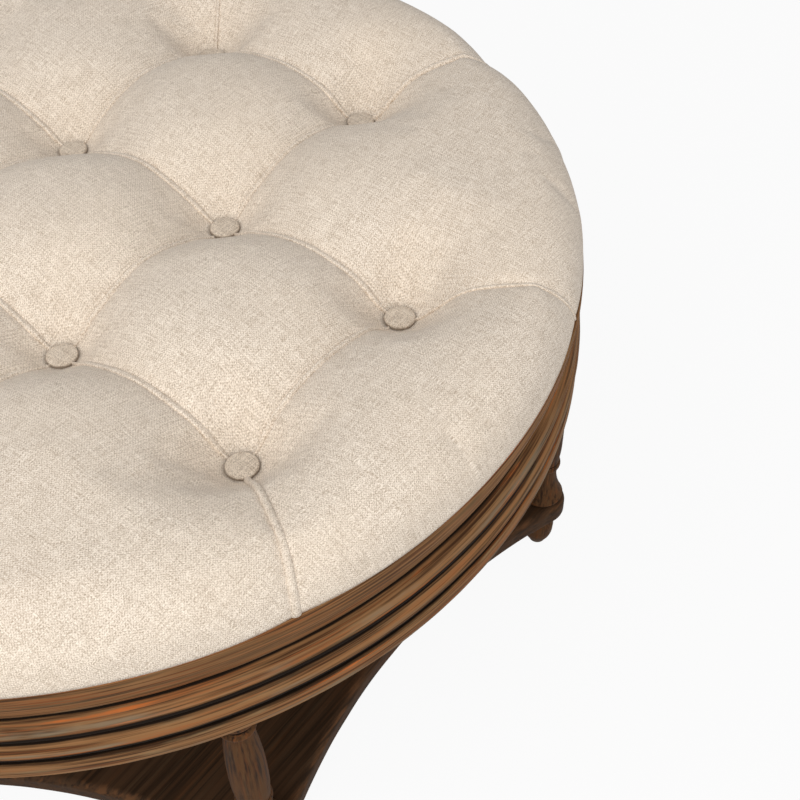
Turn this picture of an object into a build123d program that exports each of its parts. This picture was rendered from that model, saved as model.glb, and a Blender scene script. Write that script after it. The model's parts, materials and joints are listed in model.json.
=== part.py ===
from build123d import *
from math import asin, atan2, cos, degrees, hypot, radians, sin, sqrt
import os

# Round button-tufted ottoman table: a cushion on a moulded apron ring, six turned legs,
# a lower shelf with hollow sides and six bun feet. Millimetres, +Z up, the floor at zero
# and the origin under the middle. The middle of one hollow side faces -Y.

# Levels, from the floor up
foot_height = 54.0
shelf_thickness = 24.0
leg_length = 208.5

# Plan
side_count = 6
lip_radius = 482.3
leg_set_back = 20.3
apron_wall = 44.3
cushion_set_back = 1.7

# Apron moulding, from the top down
band_height = 46.5
torus_height = 21.5
bead_height = 22.5
cove_height = 4.0
lip_height = 17.0
band_inset = 2.6
first_groove_inset = 12.0
second_groove_inset = 4.7
third_groove_inset = 3.3
cove_inset = 9.0
band_belly = 2.0
torus_belly = 7.6
bead_belly = 4.8
groove_width = 2.4
groove_depth = 2.2
lip_round = 4.0
edge_round = 1.6

# Rabbet, seat board and foam
board_thickness = 15.0
foam_thickness = 12.0
cushion_sink = 18.0
rabbet_wall = 24.0
board_clearance = 0.8

# Cushion
cushion_draw_in = 4.0
side_rise = 12.0
shoulder_radius = 42.0
crown_rise = 3.0
tuft_count = 4
tuft_margin = 168.6
dimple_gap = 26.0
mound_belly_share = 0.06
button_padding = 7.0
channel_half_width = 80.0
channel_depth = 27.0
rim_channel_half_width = 48.0
rim_channel_depth = 13.0
rim_pleat_angle = 28.6

# Covered buttons, their backs, twines and toggles
button_radius = 14.3
button_height = 9.0
button_edge = 3.2
button_clearance = 0.7
button_back_margin = 3.8
button_back_thickness = 1.4
twine_radius = 1.0
twine_clearance = 0.4
toggle_radius = 7.0
toggle_thickness = 4.0

# Rails, glue blocks, keys and dust cover under the seat board
rail_width = 20.0
rail_height = 30.0
rail_angle = 20.0
block_depth = 28.0
block_width = 61.0
block_screw_offset = 20.0
key_thickness = 8.0
key_length = 24.0
key_height = 50.0
key_clearance = 0.2
dust_cover_thickness = 1.2
dust_cover_clearance = 0.4

# Screws and bolts
screw_radius = 2.2
screw_head_radius = 4.4
screw_head_height = 2.6
screw_bite = 10.0
screw_clearance = 0.2
bolt_radius = 4.0
bolt_embed = 34.0
bolt_clearance = 0.25

# Turned leg: its radii, its runs up from the shelf and its runs down from the apron
leg_base_radius = 18.8
leg_bell_radius = 22.6
leg_neck_radius = 13.8
leg_ring_proud = 2.8
leg_waist_radius = 15.4
leg_swell_radius = 16.8
leg_throat_radius = 12.4
leg_bead_proud = 4.2
leg_collar_radius = 19.0
leg_bell_rise = 6.0
leg_bell_height = 32.0
leg_neck_height = 12.0
leg_ring_height = 10.0
leg_waist_height = 7.0
leg_swell_height = 21.0
leg_throat_height = 3.0
leg_bead_height = 10.0
leg_cove_height = 5.0
leg_collar_flare = 7.0
leg_collar_height = 7.5

# Lower shelf
pad_radius = 25.5
side_hollow = 42.7
shelf_top_round = 7.0
shelf_bottom_round = 4.0

# Bun foot and glide
foot_radius = 16.2
foot_neck_radius = 12.6
foot_tread_margin = 1.4
foot_belly_share = 0.42
foot_neck_height = 8.0
foot_fillet_height = 5.0
glide_radius = 9.0
glide_thickness = 3.0

overrun = 6.0

# Levels and places that follow
side_angle = 360 / side_count
first_joint_angle = -side_angle / 2
shelf_top = foot_height + shelf_thickness
apron_bottom = shelf_top + leg_length
apron_top = apron_bottom + lip_height + cove_height + bead_height + torus_height + band_height
foam_top = apron_top - cushion_sink
ledge_level = foam_top - foam_thickness - board_thickness
rail_bottom = ledge_level - rail_height
rabbet_radius = lip_radius - band_inset - rabbet_wall
apron_inner_radius = lip_radius - apron_wall
leg_circle_radius = lip_radius - leg_set_back
cushion_radius = lip_radius - cushion_set_back
shoulder_level = apron_top + side_rise + shoulder_radius
crown_level = shoulder_level + crown_rise
button_seat = foam_top + button_padding
button_back_radius = button_radius - button_back_margin
rail_offset = apron_inner_radius * sin(radians(rail_angle))
block_angle = degrees(block_width / apron_inner_radius)
block_screw_angle = degrees(block_screw_offset / apron_inner_radius)
foot_tread_radius = glide_radius + foot_tread_margin
leg_angles = [side_angle * index for index in range(side_count)]
joint_angles = [first_joint_angle + side_angle * index for index in range(side_count)]

# The tufting is a square lattice without its four corners
tuft_pitch = 2 * (cushion_radius - tuft_margin) / (tuft_count - 1)
dimple_radius = (tuft_pitch - dimple_gap) / 2
lattice = [tuft_pitch * (index - (tuft_count - 1) / 2) for index in range(tuft_count)]
lattice_edge = max(lattice)
tufts = [(x, y) for x in lattice for y in lattice if min(abs(x), abs(y)) < lattice_edge]


def heading(angle):
    """The level unit vector at an angle in degrees about the table's axis."""
    return Vector(cos(radians(angle)), sin(radians(angle)), 0)


def level_arc(start, end):
    """An arc that leaves start level and reaches end, on a profile."""
    run, drop = end[0] - start[0], end[1] - start[1]
    radius = (run * run + drop * drop) / (2 * abs(drop))
    half = asin(abs(run) / radius) / 2
    side = run / abs(run)
    fall = drop / abs(drop)
    middle = (start[0] + side * radius * sin(half), start[1] + fall * radius * (1 - cos(half)))
    return ThreePointArc(start, middle, end)


def belly_point(start, end, belly):
    """The middle of an arc between two points that swells out by belly, away from the axis."""
    dx, dz = end[0] - start[0], end[1] - start[1]
    span = hypot(dx, dz)
    side = 1 if dz > 0 else -1
    return ((start[0] + end[0]) / 2 + side * belly * dz / span,
            (start[1] + end[1]) / 2 - side * belly * dx / span)


def bellied_arc(start, end, belly):
    """An arc between two points that swells out by belly."""
    return ThreePointArc(start, belly_point(start, end, belly), end)


def mound_point(floor, brim):
    """The middle of the stuffed cloth's arc up from a tuft or a valley to the open brim."""
    return belly_point(floor, brim, -mound_belly_share * hypot(brim[0] - floor[0], brim[1] - floor[1]))


def turned(edges, angle=360):
    """A solid of revolution about Z of a closed profile in the XZ plane."""
    with BuildPart() as part:
        with BuildSketch(Plane.XZ):
            with BuildLine():
                for edge in edges:
                    add(edge)
            make_face()
        revolve(axis=Axis.Z, revolution_arc=angle)
    return part.part


def rod(radius, low, high):
    """A plain round bar on Z between two levels."""
    return Pos(0, 0, (low + high) / 2) * Cylinder(radius, high - low)


def group(solids):
    """Several separate solids as one node."""
    return Compound(children=list(solids))


def seat_screw(clearance=0):
    """A countersunk screw that points up from the rails' underside into the seat board."""
    head, shank = screw_head_radius + clearance, screw_radius + clearance
    tip = ledge_level + screw_bite + clearance
    return turned(Polyline((0, rail_bottom), (head, rail_bottom), (shank, rail_bottom + screw_head_height),
                           (shank, tip), (0, tip), close=True).edges())


def block_screw(angle, clearance=0):
    """A level screw out through a glue block into the apron."""
    shank, head = screw_radius + clearance, screw_head_radius + clearance
    inner = apron_inner_radius - block_depth
    reach = block_depth + screw_bite + clearance
    profile = Polyline((0, 0), (head, 0), (shank, screw_head_height), (shank, reach), (0, reach),
                       close=True).edges()
    level = rail_bottom + rail_height / 2
    return Rot(0, 0, angle) * Pos(inner, 0, level) * Rot(0, 90, 0) * turned(profile)


# Cushion
def crown_solid():
    """The plain domed cushion, drawn in where it meets the apron and sunk into its rabbet."""
    sunk_radius = rabbet_radius - board_clearance
    base = (cushion_radius - cushion_draw_in, apron_top)
    widest = (cushion_radius, apron_top + side_rise)
    shoulder_centre = cushion_radius - shoulder_radius
    quarter = sqrt(0.5)
    shoulder_middle = (shoulder_centre + shoulder_radius * quarter,
                       widest[1] + shoulder_radius * quarter)
    shoulder_top = (shoulder_centre, shoulder_level)
    edges = [Polyline((0, foam_top), (sunk_radius, foam_top), (sunk_radius, apron_top), base),
             bellied_arc(base, widest, edge_round / 2),
             ThreePointArc(widest, shoulder_middle, shoulder_top),
             level_arc((0, crown_level), shoulder_top), Line((0, crown_level), (0, foam_top))]
    return turned(edges)


def dimple_cutter():
    """What a button draws down: a flared pit under the crown."""
    floor, brim = (button_radius + button_clearance, button_seat), (dimple_radius, crown_level + overrun)
    return turned([Line((0, button_seat), floor), ThreePointArc(floor, mound_point(floor, brim), brim),
                   Polyline(brim, (0, brim[1]), (0, button_seat))])


def channel_face(half_width, depth):
    """The section of a sewn channel in the XY plane, its crown line on X, its valley below."""
    valley, right, left = (0, -depth), (half_width, overrun), (-half_width, overrun)
    middle = mound_point(valley, right)
    with BuildSketch() as sketch:
        with BuildLine():
            ThreePointArc(left, (-middle[0], middle[1]), valley)
            ThreePointArc(valley, middle, right)
            Line(right, left)
        make_face()
    return sketch.sketch


def channel_between(start, end):
    """A straight channel cutter at crown level from one tuft to another."""
    direction = Vector(end[0] - start[0], end[1] - start[1], 0)
    plane = Plane((start[0], start[1], crown_level), x_dir=Vector(0, 0, 1).cross(direction),
                  z_dir=direction)
    return extrude(plane * channel_face(channel_half_width, channel_depth), direction.length)


def rim_channel(start, angle):
    """A channel cutter from an outer tuft to the shoulder and down round it."""
    direction = heading(angle)
    shoulder_centre = cushion_radius - shoulder_radius
    along = start.dot(direction)
    across_squared = start.dot(start) - along * along
    run = sqrt(shoulder_centre * shoulder_centre - across_squared) - along
    plane = Plane((start.X, start.Y, crown_level), x_dir=Vector(0, 0, 1).cross(direction),
                  z_dir=direction)
    section = channel_face(rim_channel_half_width, rim_channel_depth)
    straight = extrude(plane * section, run)
    turn_level = apron_top + side_rise
    centre = start + direction * run
    axis = Axis((centre.X, centre.Y, turn_level), plane.x_dir)
    bend_plane = Plane((centre.X, centre.Y, shoulder_level), x_dir=plane.x_dir, z_dir=direction)
    bend = revolve(bend_plane * section, axis=axis, revolution_arc=90)
    return straight, bend


def tuft_rows():
    """The first and last tuft of each row that a channel runs along, both ways of the lattice."""
    rows = []
    for place in lattice:
        reach = max(x for x, y in tufts if y == place)
        rows += [((-reach, place), (reach, place)), ((place, -reach), (place, reach))]
    return rows


def rim_pleats():
    """Each outer tuft with the direction of its pleat to the rim."""
    pleats = []
    for quarter_turn in range(4):
        for side in (-1, 1):
            start = Vector(lattice_edge, side * tuft_pitch / 2).rotate(Axis.Z, 90 * quarter_turn)
            pleats.append((start, 90 * quarter_turn + side * rim_pleat_angle))
    return pleats


def cushion_solid():
    """The tufted cushion: crown, buttons' pits, sewn channels and twine holes."""
    cutters = [Pos(x, y) * dimple_cutter() for x, y in tufts]
    cutters += [channel_between(start, end) for start, end in tuft_rows()]
    for start, angle in rim_pleats():
        cutters += rim_channel(start, angle)
    cutters += [Pos(x, y) * rod(twine_radius + twine_clearance, foam_top, crown_level) for x, y in tufts]
    return crown_solid() - cutters


def button_solid():
    """A covered button: a low dome with a rolled edge."""
    bottom = button_seat + button_back_thickness
    top = button_seat + button_height
    waist = bottom + button_edge
    edges = [Line((0, bottom), (button_radius - edge_round, bottom)),
             bellied_arc((button_radius - edge_round, bottom), (button_radius, waist), edge_round / 4),
             level_arc((0, top), (button_radius, waist)), Line((0, top), (0, bottom))]
    return turned(edges)


# Apron ring
def apron_profile():
    """The apron's section: band, torus, bead, cove and lip outside, a rabbet inside."""
    band_top = lip_radius - band_inset
    first = (lip_radius - first_groove_inset, apron_top - band_height)
    second = (lip_radius - second_groove_inset, first[1] - torus_height)
    third = (lip_radius - third_groove_inset, second[1] - bead_height)
    lip_top = third[1] - cove_height
    half = groove_width / 2
    band_foot = (first[0] + groove_depth, first[1] + half)
    torus_start = (first[0] + edge_round / 2, first[1] - half)
    lip_face_top = lip_top - lip_round
    edges = [Line((rabbet_radius, apron_top), (band_top - edge_round, apron_top)),
             bellied_arc((band_top, apron_top - edge_round), (band_top - edge_round, apron_top),
                         edge_round / 4),
             bellied_arc(band_foot, (band_top, apron_top - edge_round), band_belly),
             Polyline(band_foot, (first[0] - edge_round, first[1]), torus_start),
             bellied_arc((second[0], second[1] + half), torus_start, torus_belly),
             Polyline((second[0], second[1] + half), (second[0] - groove_depth, second[1]),
                      (second[0], second[1] - half)),
             bellied_arc(third, (second[0], second[1] - half), bead_belly),
             Polyline(third, (lip_radius - cove_inset, third[1] - half), (lip_radius - cove_inset, lip_top),
                      (lip_radius - lip_round, lip_top)),
             bellied_arc((lip_radius, lip_face_top), (lip_radius - lip_round, lip_top), lip_round / 4),
             Polyline((lip_radius, lip_face_top), (lip_radius, apron_bottom + edge_round),
                      (lip_radius - edge_round, apron_bottom), (apron_inner_radius, apron_bottom),
                      (apron_inner_radius, ledge_level), (rabbet_radius, ledge_level),
                      (rabbet_radius, apron_top))]
    return edges


def key_solid(clearance=0):
    """A loose tongue across the joint of two apron segments, at angle zero."""
    radius = (apron_inner_radius + rabbet_radius) / 2
    level = (apron_bottom + ledge_level) / 2
    size = (key_thickness + 2 * clearance, key_length + 2 * clearance, key_height + 2 * clearance)
    return Pos(radius, 0, level) * Box(*size)


def apron_segment(angle):
    """One segment of the ring, centred over a leg, with its key slots and bolt hole."""
    ring = Rot(0, 0, first_joint_angle) * turned(apron_profile(), side_angle)
    slots = [Rot(0, 0, side * first_joint_angle) * key_solid(key_clearance) for side in (-1, 1)]
    hole = Pos(leg_circle_radius, 0) * rod(bolt_radius + bolt_clearance, apron_bottom - overrun,
                                           apron_bottom + bolt_embed + bolt_clearance)
    screws = [block_screw(side * first_joint_angle + place, screw_clearance)
              for side in (-1, 1) for place in (-block_screw_angle, block_screw_angle)]
    return Rot(0, 0, angle) * (ring - slots - hole - screws)


# Under the seat board
def glue_block():
    """A block glued and screwed behind an apron joint, at angle zero."""
    inner = apron_inner_radius - block_depth
    profile = Polyline((inner, rail_bottom), (apron_inner_radius, rail_bottom),
                       (apron_inner_radius, ledge_level), (inner, ledge_level), close=True).edges()
    block = Rot(0, 0, -block_angle / 2) * turned(profile, block_angle)
    screws = [block_screw(place, screw_clearance) for place in (-block_screw_angle, block_screw_angle)]
    return block - screws - Pos(block_screw_radius, 0) * seat_screw(screw_clearance)


def rail_solid(side):
    """A stiffening rail under the board, its ends shaped to the apron's inside."""
    bar = Pos(0, side * rail_offset, rail_bottom + rail_height / 2)
    bar *= Box(2 * apron_inner_radius, rail_width, rail_height)
    bar &= rod(apron_inner_radius, rail_bottom, ledge_level)
    return bar - [Pos(x, side * rail_offset) * seat_screw(screw_clearance) for x in rail_screw_places]


def board_solid():
    """The plywood seat board with its twine and screw holes."""
    radius = rabbet_radius - board_clearance
    board = rod(radius, ledge_level, ledge_level + board_thickness)
    holes = [Pos(x, y) * rod(twine_radius + twine_clearance, ledge_level - overrun, apron_top)
             for x, y in tufts]
    return board - holes - [place * seat_screw(screw_clearance) for place in seat_screw_places]


def foam_solid():
    """The firm foam layer between the board and the tufted cushion."""
    radius = rabbet_radius - board_clearance
    foam = rod(radius, ledge_level + board_thickness, foam_top)
    holes = [Pos(x, y) * rod(twine_radius + twine_clearance, ledge_level, apron_top + overrun)
             for x, y in tufts]
    return foam - holes


# Legs, shelf and feet
def leg_solid():
    """A turned leg: bell, neck, ring, long baluster, throat, bead and collar."""
    bell_level = shelf_top + leg_bell_rise
    neck_level = bell_level + leg_bell_height
    ring_low = neck_level + leg_neck_height
    ring_high = ring_low + leg_ring_height
    waist_level = ring_high + leg_waist_height
    swell_level = waist_level + leg_swell_height
    collar_level = apron_bottom - leg_collar_height
    cove_level = collar_level - leg_collar_flare
    bead_high = cove_level - leg_cove_height
    bead_low = bead_high - leg_bead_height
    throat_level = bead_low - leg_throat_height
    base, bell = (leg_base_radius, shelf_top), (leg_bell_radius, bell_level)
    neck, neck_top = (leg_neck_radius, neck_level), (leg_neck_radius, ring_low)
    waist_foot, waist = (leg_waist_radius, ring_high), (leg_waist_radius, waist_level)
    swell, throat = (leg_swell_radius, swell_level), (leg_throat_radius, throat_level)
    bead_foot, bead_top = (leg_throat_radius, bead_low), (leg_throat_radius, bead_high)
    cove, collar = (leg_throat_radius, cove_level), (leg_collar_radius, collar_level)
    edges = [Line((0, shelf_top), base), bellied_arc(base, bell, edge_round / 2),
             bellied_arc(bell, neck, -edge_round), Line(neck, neck_top),
             bellied_arc(neck_top, waist_foot, leg_ring_proud),
             Line(waist_foot, waist), bellied_arc(waist, swell, edge_round / 4),
             bellied_arc(swell, throat, edge_round), Line(throat, bead_foot),
             bellied_arc(bead_foot, bead_top, leg_bead_proud),
             Line(bead_top, cove), bellied_arc(cove, collar, -edge_round),
             Polyline(collar, (leg_collar_radius, apron_bottom), (0, apron_bottom), (0, shelf_top))]
    bore = bolt_radius + bolt_clearance
    depth = bolt_embed + bolt_clearance
    holes = [rod(bore, apron_bottom - depth, apron_bottom + overrun),
             rod(bore, shelf_top - overrun, shelf_top + depth)]
    return turned(edges) - holes


def shelf_outline():
    """Six round pads at the legs, joined by hollow arcs that meet them smoothly."""
    half = radians(side_angle / 2)
    middle_distance = leg_circle_radius * cos(half)
    half_chord = leg_circle_radius * sin(half)
    side_middle_radius = middle_distance + pad_radius - side_hollow
    offset = side_hollow - pad_radius
    hollow_radius = ((offset * offset + half_chord * half_chord - pad_radius * pad_radius)
                     / (2 * side_hollow))
    hollow_centre = side_middle_radius + hollow_radius
    swing = degrees(atan2(half_chord, hollow_centre - middle_distance))
    edges = []
    for angle in leg_angles:
        pad = heading(angle) * leg_circle_radius
        turn = side_angle / 2 - swing
        start, end = (pad + heading(angle + side * turn) * pad_radius for side in (-1, 1))
        following = heading(angle + side_angle) * leg_circle_radius
        next_start = following + heading(angle + side_angle - turn) * pad_radius
        hollow = heading(angle + side_angle / 2) * side_middle_radius
        edges.append(ThreePointArc(start, pad + heading(angle) * pad_radius, end))
        edges.append(ThreePointArc(end, hollow, next_start))
    return edges


def shelf_solid():
    """The lower shelf with rounded edges and a bolt hole at each pad."""
    with BuildPart() as part:
        with BuildSketch(Plane.XY.offset(foot_height)):
            with BuildLine():
                for edge in shelf_outline():
                    add(edge)
            make_face()
        extrude(amount=shelf_thickness)
        fillet(part.faces().sort_by(Axis.Z)[-1].edges(), shelf_top_round)
        fillet(part.faces().sort_by(Axis.Z)[0].edges(), shelf_bottom_round)
    holes = [place * rod(bolt_radius + bolt_clearance, foot_height - overrun, shelf_top + overrun)
             for place in leg_places]
    return part.part - holes


def foot_solid():
    """A small turned bun foot with a short neck under the shelf."""
    low = glide_thickness
    belly = low + (foot_height - low) * foot_belly_share
    shoulder = foot_height - foot_neck_height - foot_fillet_height
    neck = foot_height - foot_neck_height
    edges = [Line((0, low), (foot_tread_radius, low)),
             bellied_arc((foot_tread_radius, low), (foot_radius, belly), edge_round),
             bellied_arc((foot_radius, belly), (foot_neck_radius, shoulder), edge_round),
             bellied_arc((foot_neck_radius, shoulder), (foot_neck_radius, neck), -edge_round / 2),
             Polyline((foot_neck_radius, neck), (foot_radius, neck), (foot_radius, foot_height),
                      (0, foot_height), (0, low))]
    hole = rod(bolt_radius + bolt_clearance, foot_height - bolt_embed - bolt_clearance,
               foot_height + overrun)
    return turned(edges) - hole


block_screw_radius = apron_inner_radius - block_depth / 2
rail_screw_places = [-rail_offset, 0, rail_offset]
seat_screw_places = [Pos(heading(angle) * block_screw_radius) for angle in joint_angles]
seat_screw_places += [Pos(x, side * rail_offset) for side in (-1, 1) for x in rail_screw_places]
leg_places = [Pos(heading(angle) * leg_circle_radius) for angle in leg_angles]
tuft_places = [Pos(x, y) for x, y in tufts]
block_screw_angles = [angle + place for angle in joint_angles
                      for place in (-block_screw_angle, block_screw_angle)]

nodes = {
    "cushion_cover": cushion_solid(),
    "foam_pad": foam_solid(),
    "seat_board": board_solid(),
    "tuft_buttons": group(place * button_solid() for place in tuft_places),
    "button_backs": group(place * rod(button_back_radius, button_seat, button_seat + button_back_thickness)
                          for place in tuft_places),
    "tuft_twines": group(place * rod(twine_radius, ledge_level, button_seat) for place in tuft_places),
    "twine_toggles": group(place * rod(toggle_radius, ledge_level - toggle_thickness, ledge_level)
                           for place in tuft_places),
    "spline_keys": group(Rot(0, 0, angle) * key_solid() for angle in joint_angles),
    "glue_blocks": group(Rot(0, 0, angle) * glue_block() for angle in joint_angles),
    "rail_front": rail_solid(-1),
    "rail_back": rail_solid(1),
    "dust_cover": rod(apron_inner_radius - dust_cover_clearance, rail_bottom - dust_cover_thickness,
                      rail_bottom),
    "seat_screws": group(place * seat_screw() for place in seat_screw_places),
    "block_screws": group(block_screw(angle) for angle in block_screw_angles),
    "lower_shelf": shelf_solid(),
    "leg_bolts": group(place * rod(bolt_radius, apron_bottom - bolt_embed, apron_bottom + bolt_embed)
                       for place in leg_places),
    "tie_rods": group(place * rod(bolt_radius, foot_height - bolt_embed, shelf_top + bolt_embed)
                      for place in leg_places),
    "glides": group(place * rod(glide_radius, 0, glide_thickness) for place in leg_places),
}
for index, (angle, place) in enumerate(zip(leg_angles, leg_places), start=1):
    nodes[f"apron_segment_{index}"] = apron_segment(angle)
    nodes[f"leg_{index}"] = place * leg_solid()
    nodes[f"bun_foot_{index}"] = place * foot_solid()

os.makedirs("parts", exist_ok=True)
for name, shape in nodes.items():
    export_step(shape, f"parts/{name}.step")
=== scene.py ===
"""Dresses a round button-tufted ottoman table and sets it in a plain studio.

Every length is in metres in the frame's own axes: +Z up, the floor at zero.
"""
from __future__ import annotations

import json
import logging
import math
from dataclasses import dataclass, field
from enum import Enum
from typing import Any, Iterable, Optional, Sequence, Union

import bmesh
import bpy
import numpy as np
from mathutils import Matrix, Vector, geometry, noise
from mathutils.bvhtree import BVHTree

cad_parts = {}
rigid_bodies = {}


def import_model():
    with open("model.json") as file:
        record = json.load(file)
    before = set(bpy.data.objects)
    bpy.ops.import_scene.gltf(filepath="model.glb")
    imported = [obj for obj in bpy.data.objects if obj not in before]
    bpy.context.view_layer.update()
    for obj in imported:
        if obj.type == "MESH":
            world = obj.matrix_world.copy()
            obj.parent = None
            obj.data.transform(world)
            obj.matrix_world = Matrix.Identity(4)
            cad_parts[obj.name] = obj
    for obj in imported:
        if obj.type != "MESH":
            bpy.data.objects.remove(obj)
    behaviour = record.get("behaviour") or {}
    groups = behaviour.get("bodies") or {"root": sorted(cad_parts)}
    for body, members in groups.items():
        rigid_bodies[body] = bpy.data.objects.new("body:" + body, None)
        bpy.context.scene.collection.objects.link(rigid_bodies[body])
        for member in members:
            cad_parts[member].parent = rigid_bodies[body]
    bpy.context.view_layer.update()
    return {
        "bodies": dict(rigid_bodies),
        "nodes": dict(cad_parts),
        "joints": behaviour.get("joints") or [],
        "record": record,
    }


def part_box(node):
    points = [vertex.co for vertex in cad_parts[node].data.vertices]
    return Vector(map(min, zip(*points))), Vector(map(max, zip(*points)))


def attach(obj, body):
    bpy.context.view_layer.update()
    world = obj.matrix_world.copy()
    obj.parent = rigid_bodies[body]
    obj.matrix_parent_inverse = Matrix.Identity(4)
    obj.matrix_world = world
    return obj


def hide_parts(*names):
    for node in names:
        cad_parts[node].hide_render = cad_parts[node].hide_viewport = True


log = logging.getLogger("ottoman_table")

BODY = "root"
MM = 0.001
LEG_COUNT = 6
BUTTON_RADIUS = 14.3 * MM
SHARP_TURN = math.radians(50)
ROUND_SWELL = (1 - math.sqrt(0.5)) * 0.98
WEAR_AND_SHADE_NAMES = ("ridge", "hollow", "under", "run")

Colour = tuple[float, float, float, float]
Points = np.ndarray


def shade(red: int, green: int, blue: int) -> Colour:
    """Returns the linear colour of a display colour given from 0 to 255."""
    linear = [((c / 255 + 0.055) / 1.055) ** 2.4 if c > 10 else c / 255 / 12.92 for c in (red, green, blue)]
    return (linear[0], linear[1], linear[2], 1.0)


class Signal:
    """A node's output that Python arithmetic extends with Math nodes."""

    def __init__(self, nodes: "Nodes", socket: Optional[bpy.types.NodeSocket]) -> None:
        """Keeps the tree and the socket."""
        self.nodes = nodes
        self.socket = socket

    def math(self, operation: str, *values: "Value") -> "Signal":
        """Returns a Math node's result on the values."""
        return self.nodes.node("ShaderNodeMath", {"operation": operation}, dict(enumerate(values)))

    def __add__(self, other: "Value") -> "Signal":
        """Returns the sum."""
        return self.math("ADD", self, other)

    __radd__ = __add__

    def __sub__(self, other: "Value") -> "Signal":
        """Returns the difference."""
        return self.math("SUBTRACT", self, other)

    def __rsub__(self, other: "Value") -> "Signal":
        """Returns the difference the other way round."""
        return self.math("SUBTRACT", other, self)

    def __mul__(self, other: "Value") -> "Signal":
        """Returns the product."""
        return self.math("MULTIPLY", self, other)

    __rmul__ = __mul__

    def sine(self) -> "Signal":
        """Returns the sine."""
        return self.math("SINE", self)

    def at_most_one(self) -> "Signal":
        """Returns the value held between zero and one."""
        return self.nodes.node("ShaderNodeClamp", {}, {0: self})

    def ramp(self, low: float, high: float) -> "Signal":
        """Returns a smooth step from zero at low to one at high."""
        return self.nodes.node("ShaderNodeMapRange", {"interpolation_type": "SMOOTHSTEP"},
                               {"Value": self, "From Min": low, "From Max": high})


Value = Union[Signal, float, int, Sequence[float]]


class Nodes:
    """A node tree under construction."""

    def __init__(self, tree: bpy.types.NodeTree) -> None:
        """Empties the tree and keeps it."""
        self.tree = tree
        tree.nodes.clear()

    def node(self, kind: str, settings: Optional[dict[str, Any]] = None,
             sockets: Optional[dict[Union[str, int], Any]] = None, output: Union[str, int] = 0) -> Signal:
        """Adds one node.

        Args:
            kind: The node's type.
            settings: Its properties, set first.
            sockets: The values or links of its inputs.
            output: Which output to return.

        Returns:
            The chosen output.
        """
        made = self.tree.nodes.new(kind)
        for name, value in (settings or {}).items():
            setattr(made, name, value)
        for key, value in (sockets or {}).items():
            if isinstance(value, Signal):
                self.tree.links.new(value.socket, made.inputs[key])
            else:
                made.inputs[key].default_value = value
        return Signal(self, made.outputs[output] if len(made.outputs) else None)

    def seen_by(self, *rays: str) -> Signal:
        """Returns one for the kinds of ray that are named, and zero for the others."""
        kinds = [self.node("ShaderNodeLightPath", output=f"Is {ray} Ray") for ray in rays]
        return sum(kinds[1:], kinds[0]).at_most_one()


class Shader(Nodes):
    """A material under construction."""

    def __init__(self, name: str) -> None:
        """Starts an empty material.

        Args:
            name: Its name.
        """
        self.material = bpy.data.materials.new(name)
        self.material.use_nodes = True
        super().__init__(self.material.node_tree)

    def place(self) -> Signal:
        """Returns the Object coordinates."""
        return self.node("ShaderNodeTexCoord", output="Object")

    def chart(self, name: str) -> Signal:
        """Returns a UV map's coordinates."""
        return self.node("ShaderNodeUVMap", {"uv_map": name})

    def mask(self, name: str) -> Signal:
        """Returns a float attribute of the mesh."""
        return self.node("ShaderNodeAttribute", {"attribute_name": name}, output="Fac")

    def axis(self, vector: Signal, index: int) -> Signal:
        """Returns one coordinate of a vector."""
        return self.node("ShaderNodeSeparateXYZ", {}, {0: vector}, index)

    def vector(self, x: Value, y: Value, z: Value) -> Signal:
        """Returns a vector of three values."""
        return self.node("ShaderNodeCombineXYZ", {}, {0: x, 1: y, 2: z})

    def stretch(self, vector: Signal, *factors: float) -> Signal:
        """Returns a vector scaled by one factor, or by a factor for each axis."""
        every = factors * (3 // len(factors))
        return self.node("ShaderNodeVectorMath", {"operation": "MULTIPLY"}, {0: vector, 1: every})

    def shift(self, vector: Signal, other: Signal) -> Signal:
        """Returns the sum of two vectors."""
        return self.node("ShaderNodeVectorMath", {"operation": "ADD"}, {0: vector, 1: other})

    def cloud(self, vector: Signal, detail: float = 2.0, rough: float = 0.5) -> Signal:
        """Returns a noise value with a mean of about a half."""
        return self.node("ShaderNodeTexNoise", {}, {"Vector": vector, "Scale": 1.0, "Detail": detail,
                                                    "Roughness": rough})

    def drift(self, vector: Signal, amount: float) -> Signal:
        """Makes a small wandering vector.

        Args:
            vector: The coordinates that it varies with.
            amount: How far it wanders.

        Returns:
            The vector, zero on average.
        """
        made = self.node("ShaderNodeTexNoise", {}, {"Vector": vector, "Scale": 1.0, "Detail": 1.0}, 1)
        centred = self.node("ShaderNodeVectorMath", {"operation": "SUBTRACT"}, {0: made, 1: (0.5, 0.5, 0.5)})
        return self.stretch(centred, amount)

    def mix(self, first: Union[Signal, Colour], second: Union[Signal, Colour], factor: Value) -> Signal:
        """Returns a colour between two, by factor."""
        return self.node("ShaderNodeMix", {"data_type": "RGBA"}, {0: factor, 6: first, 7: second}, 2)

    def relief(self, height: Signal, distance: float, strength: float = 1.0) -> Signal:
        """Returns a bumped normal from a height of zero to one."""
        return self.node("ShaderNodeBump", {}, {"Height": height, "Distance": distance, "Strength": strength})

    def skin(self, **sockets: Any) -> bpy.types.Material:
        """Closes the material with a Principled shader.

        Args:
            **sockets: Its inputs, with underscores for spaces.

        Returns:
            The finished material.
        """
        named = {key.replace("_", " "): value for key, value in sockets.items()}
        surface = self.node("ShaderNodeBsdfPrincipled", {}, named)
        self.node("ShaderNodeOutputMaterial", {}, {0: surface})
        return self.material


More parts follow.
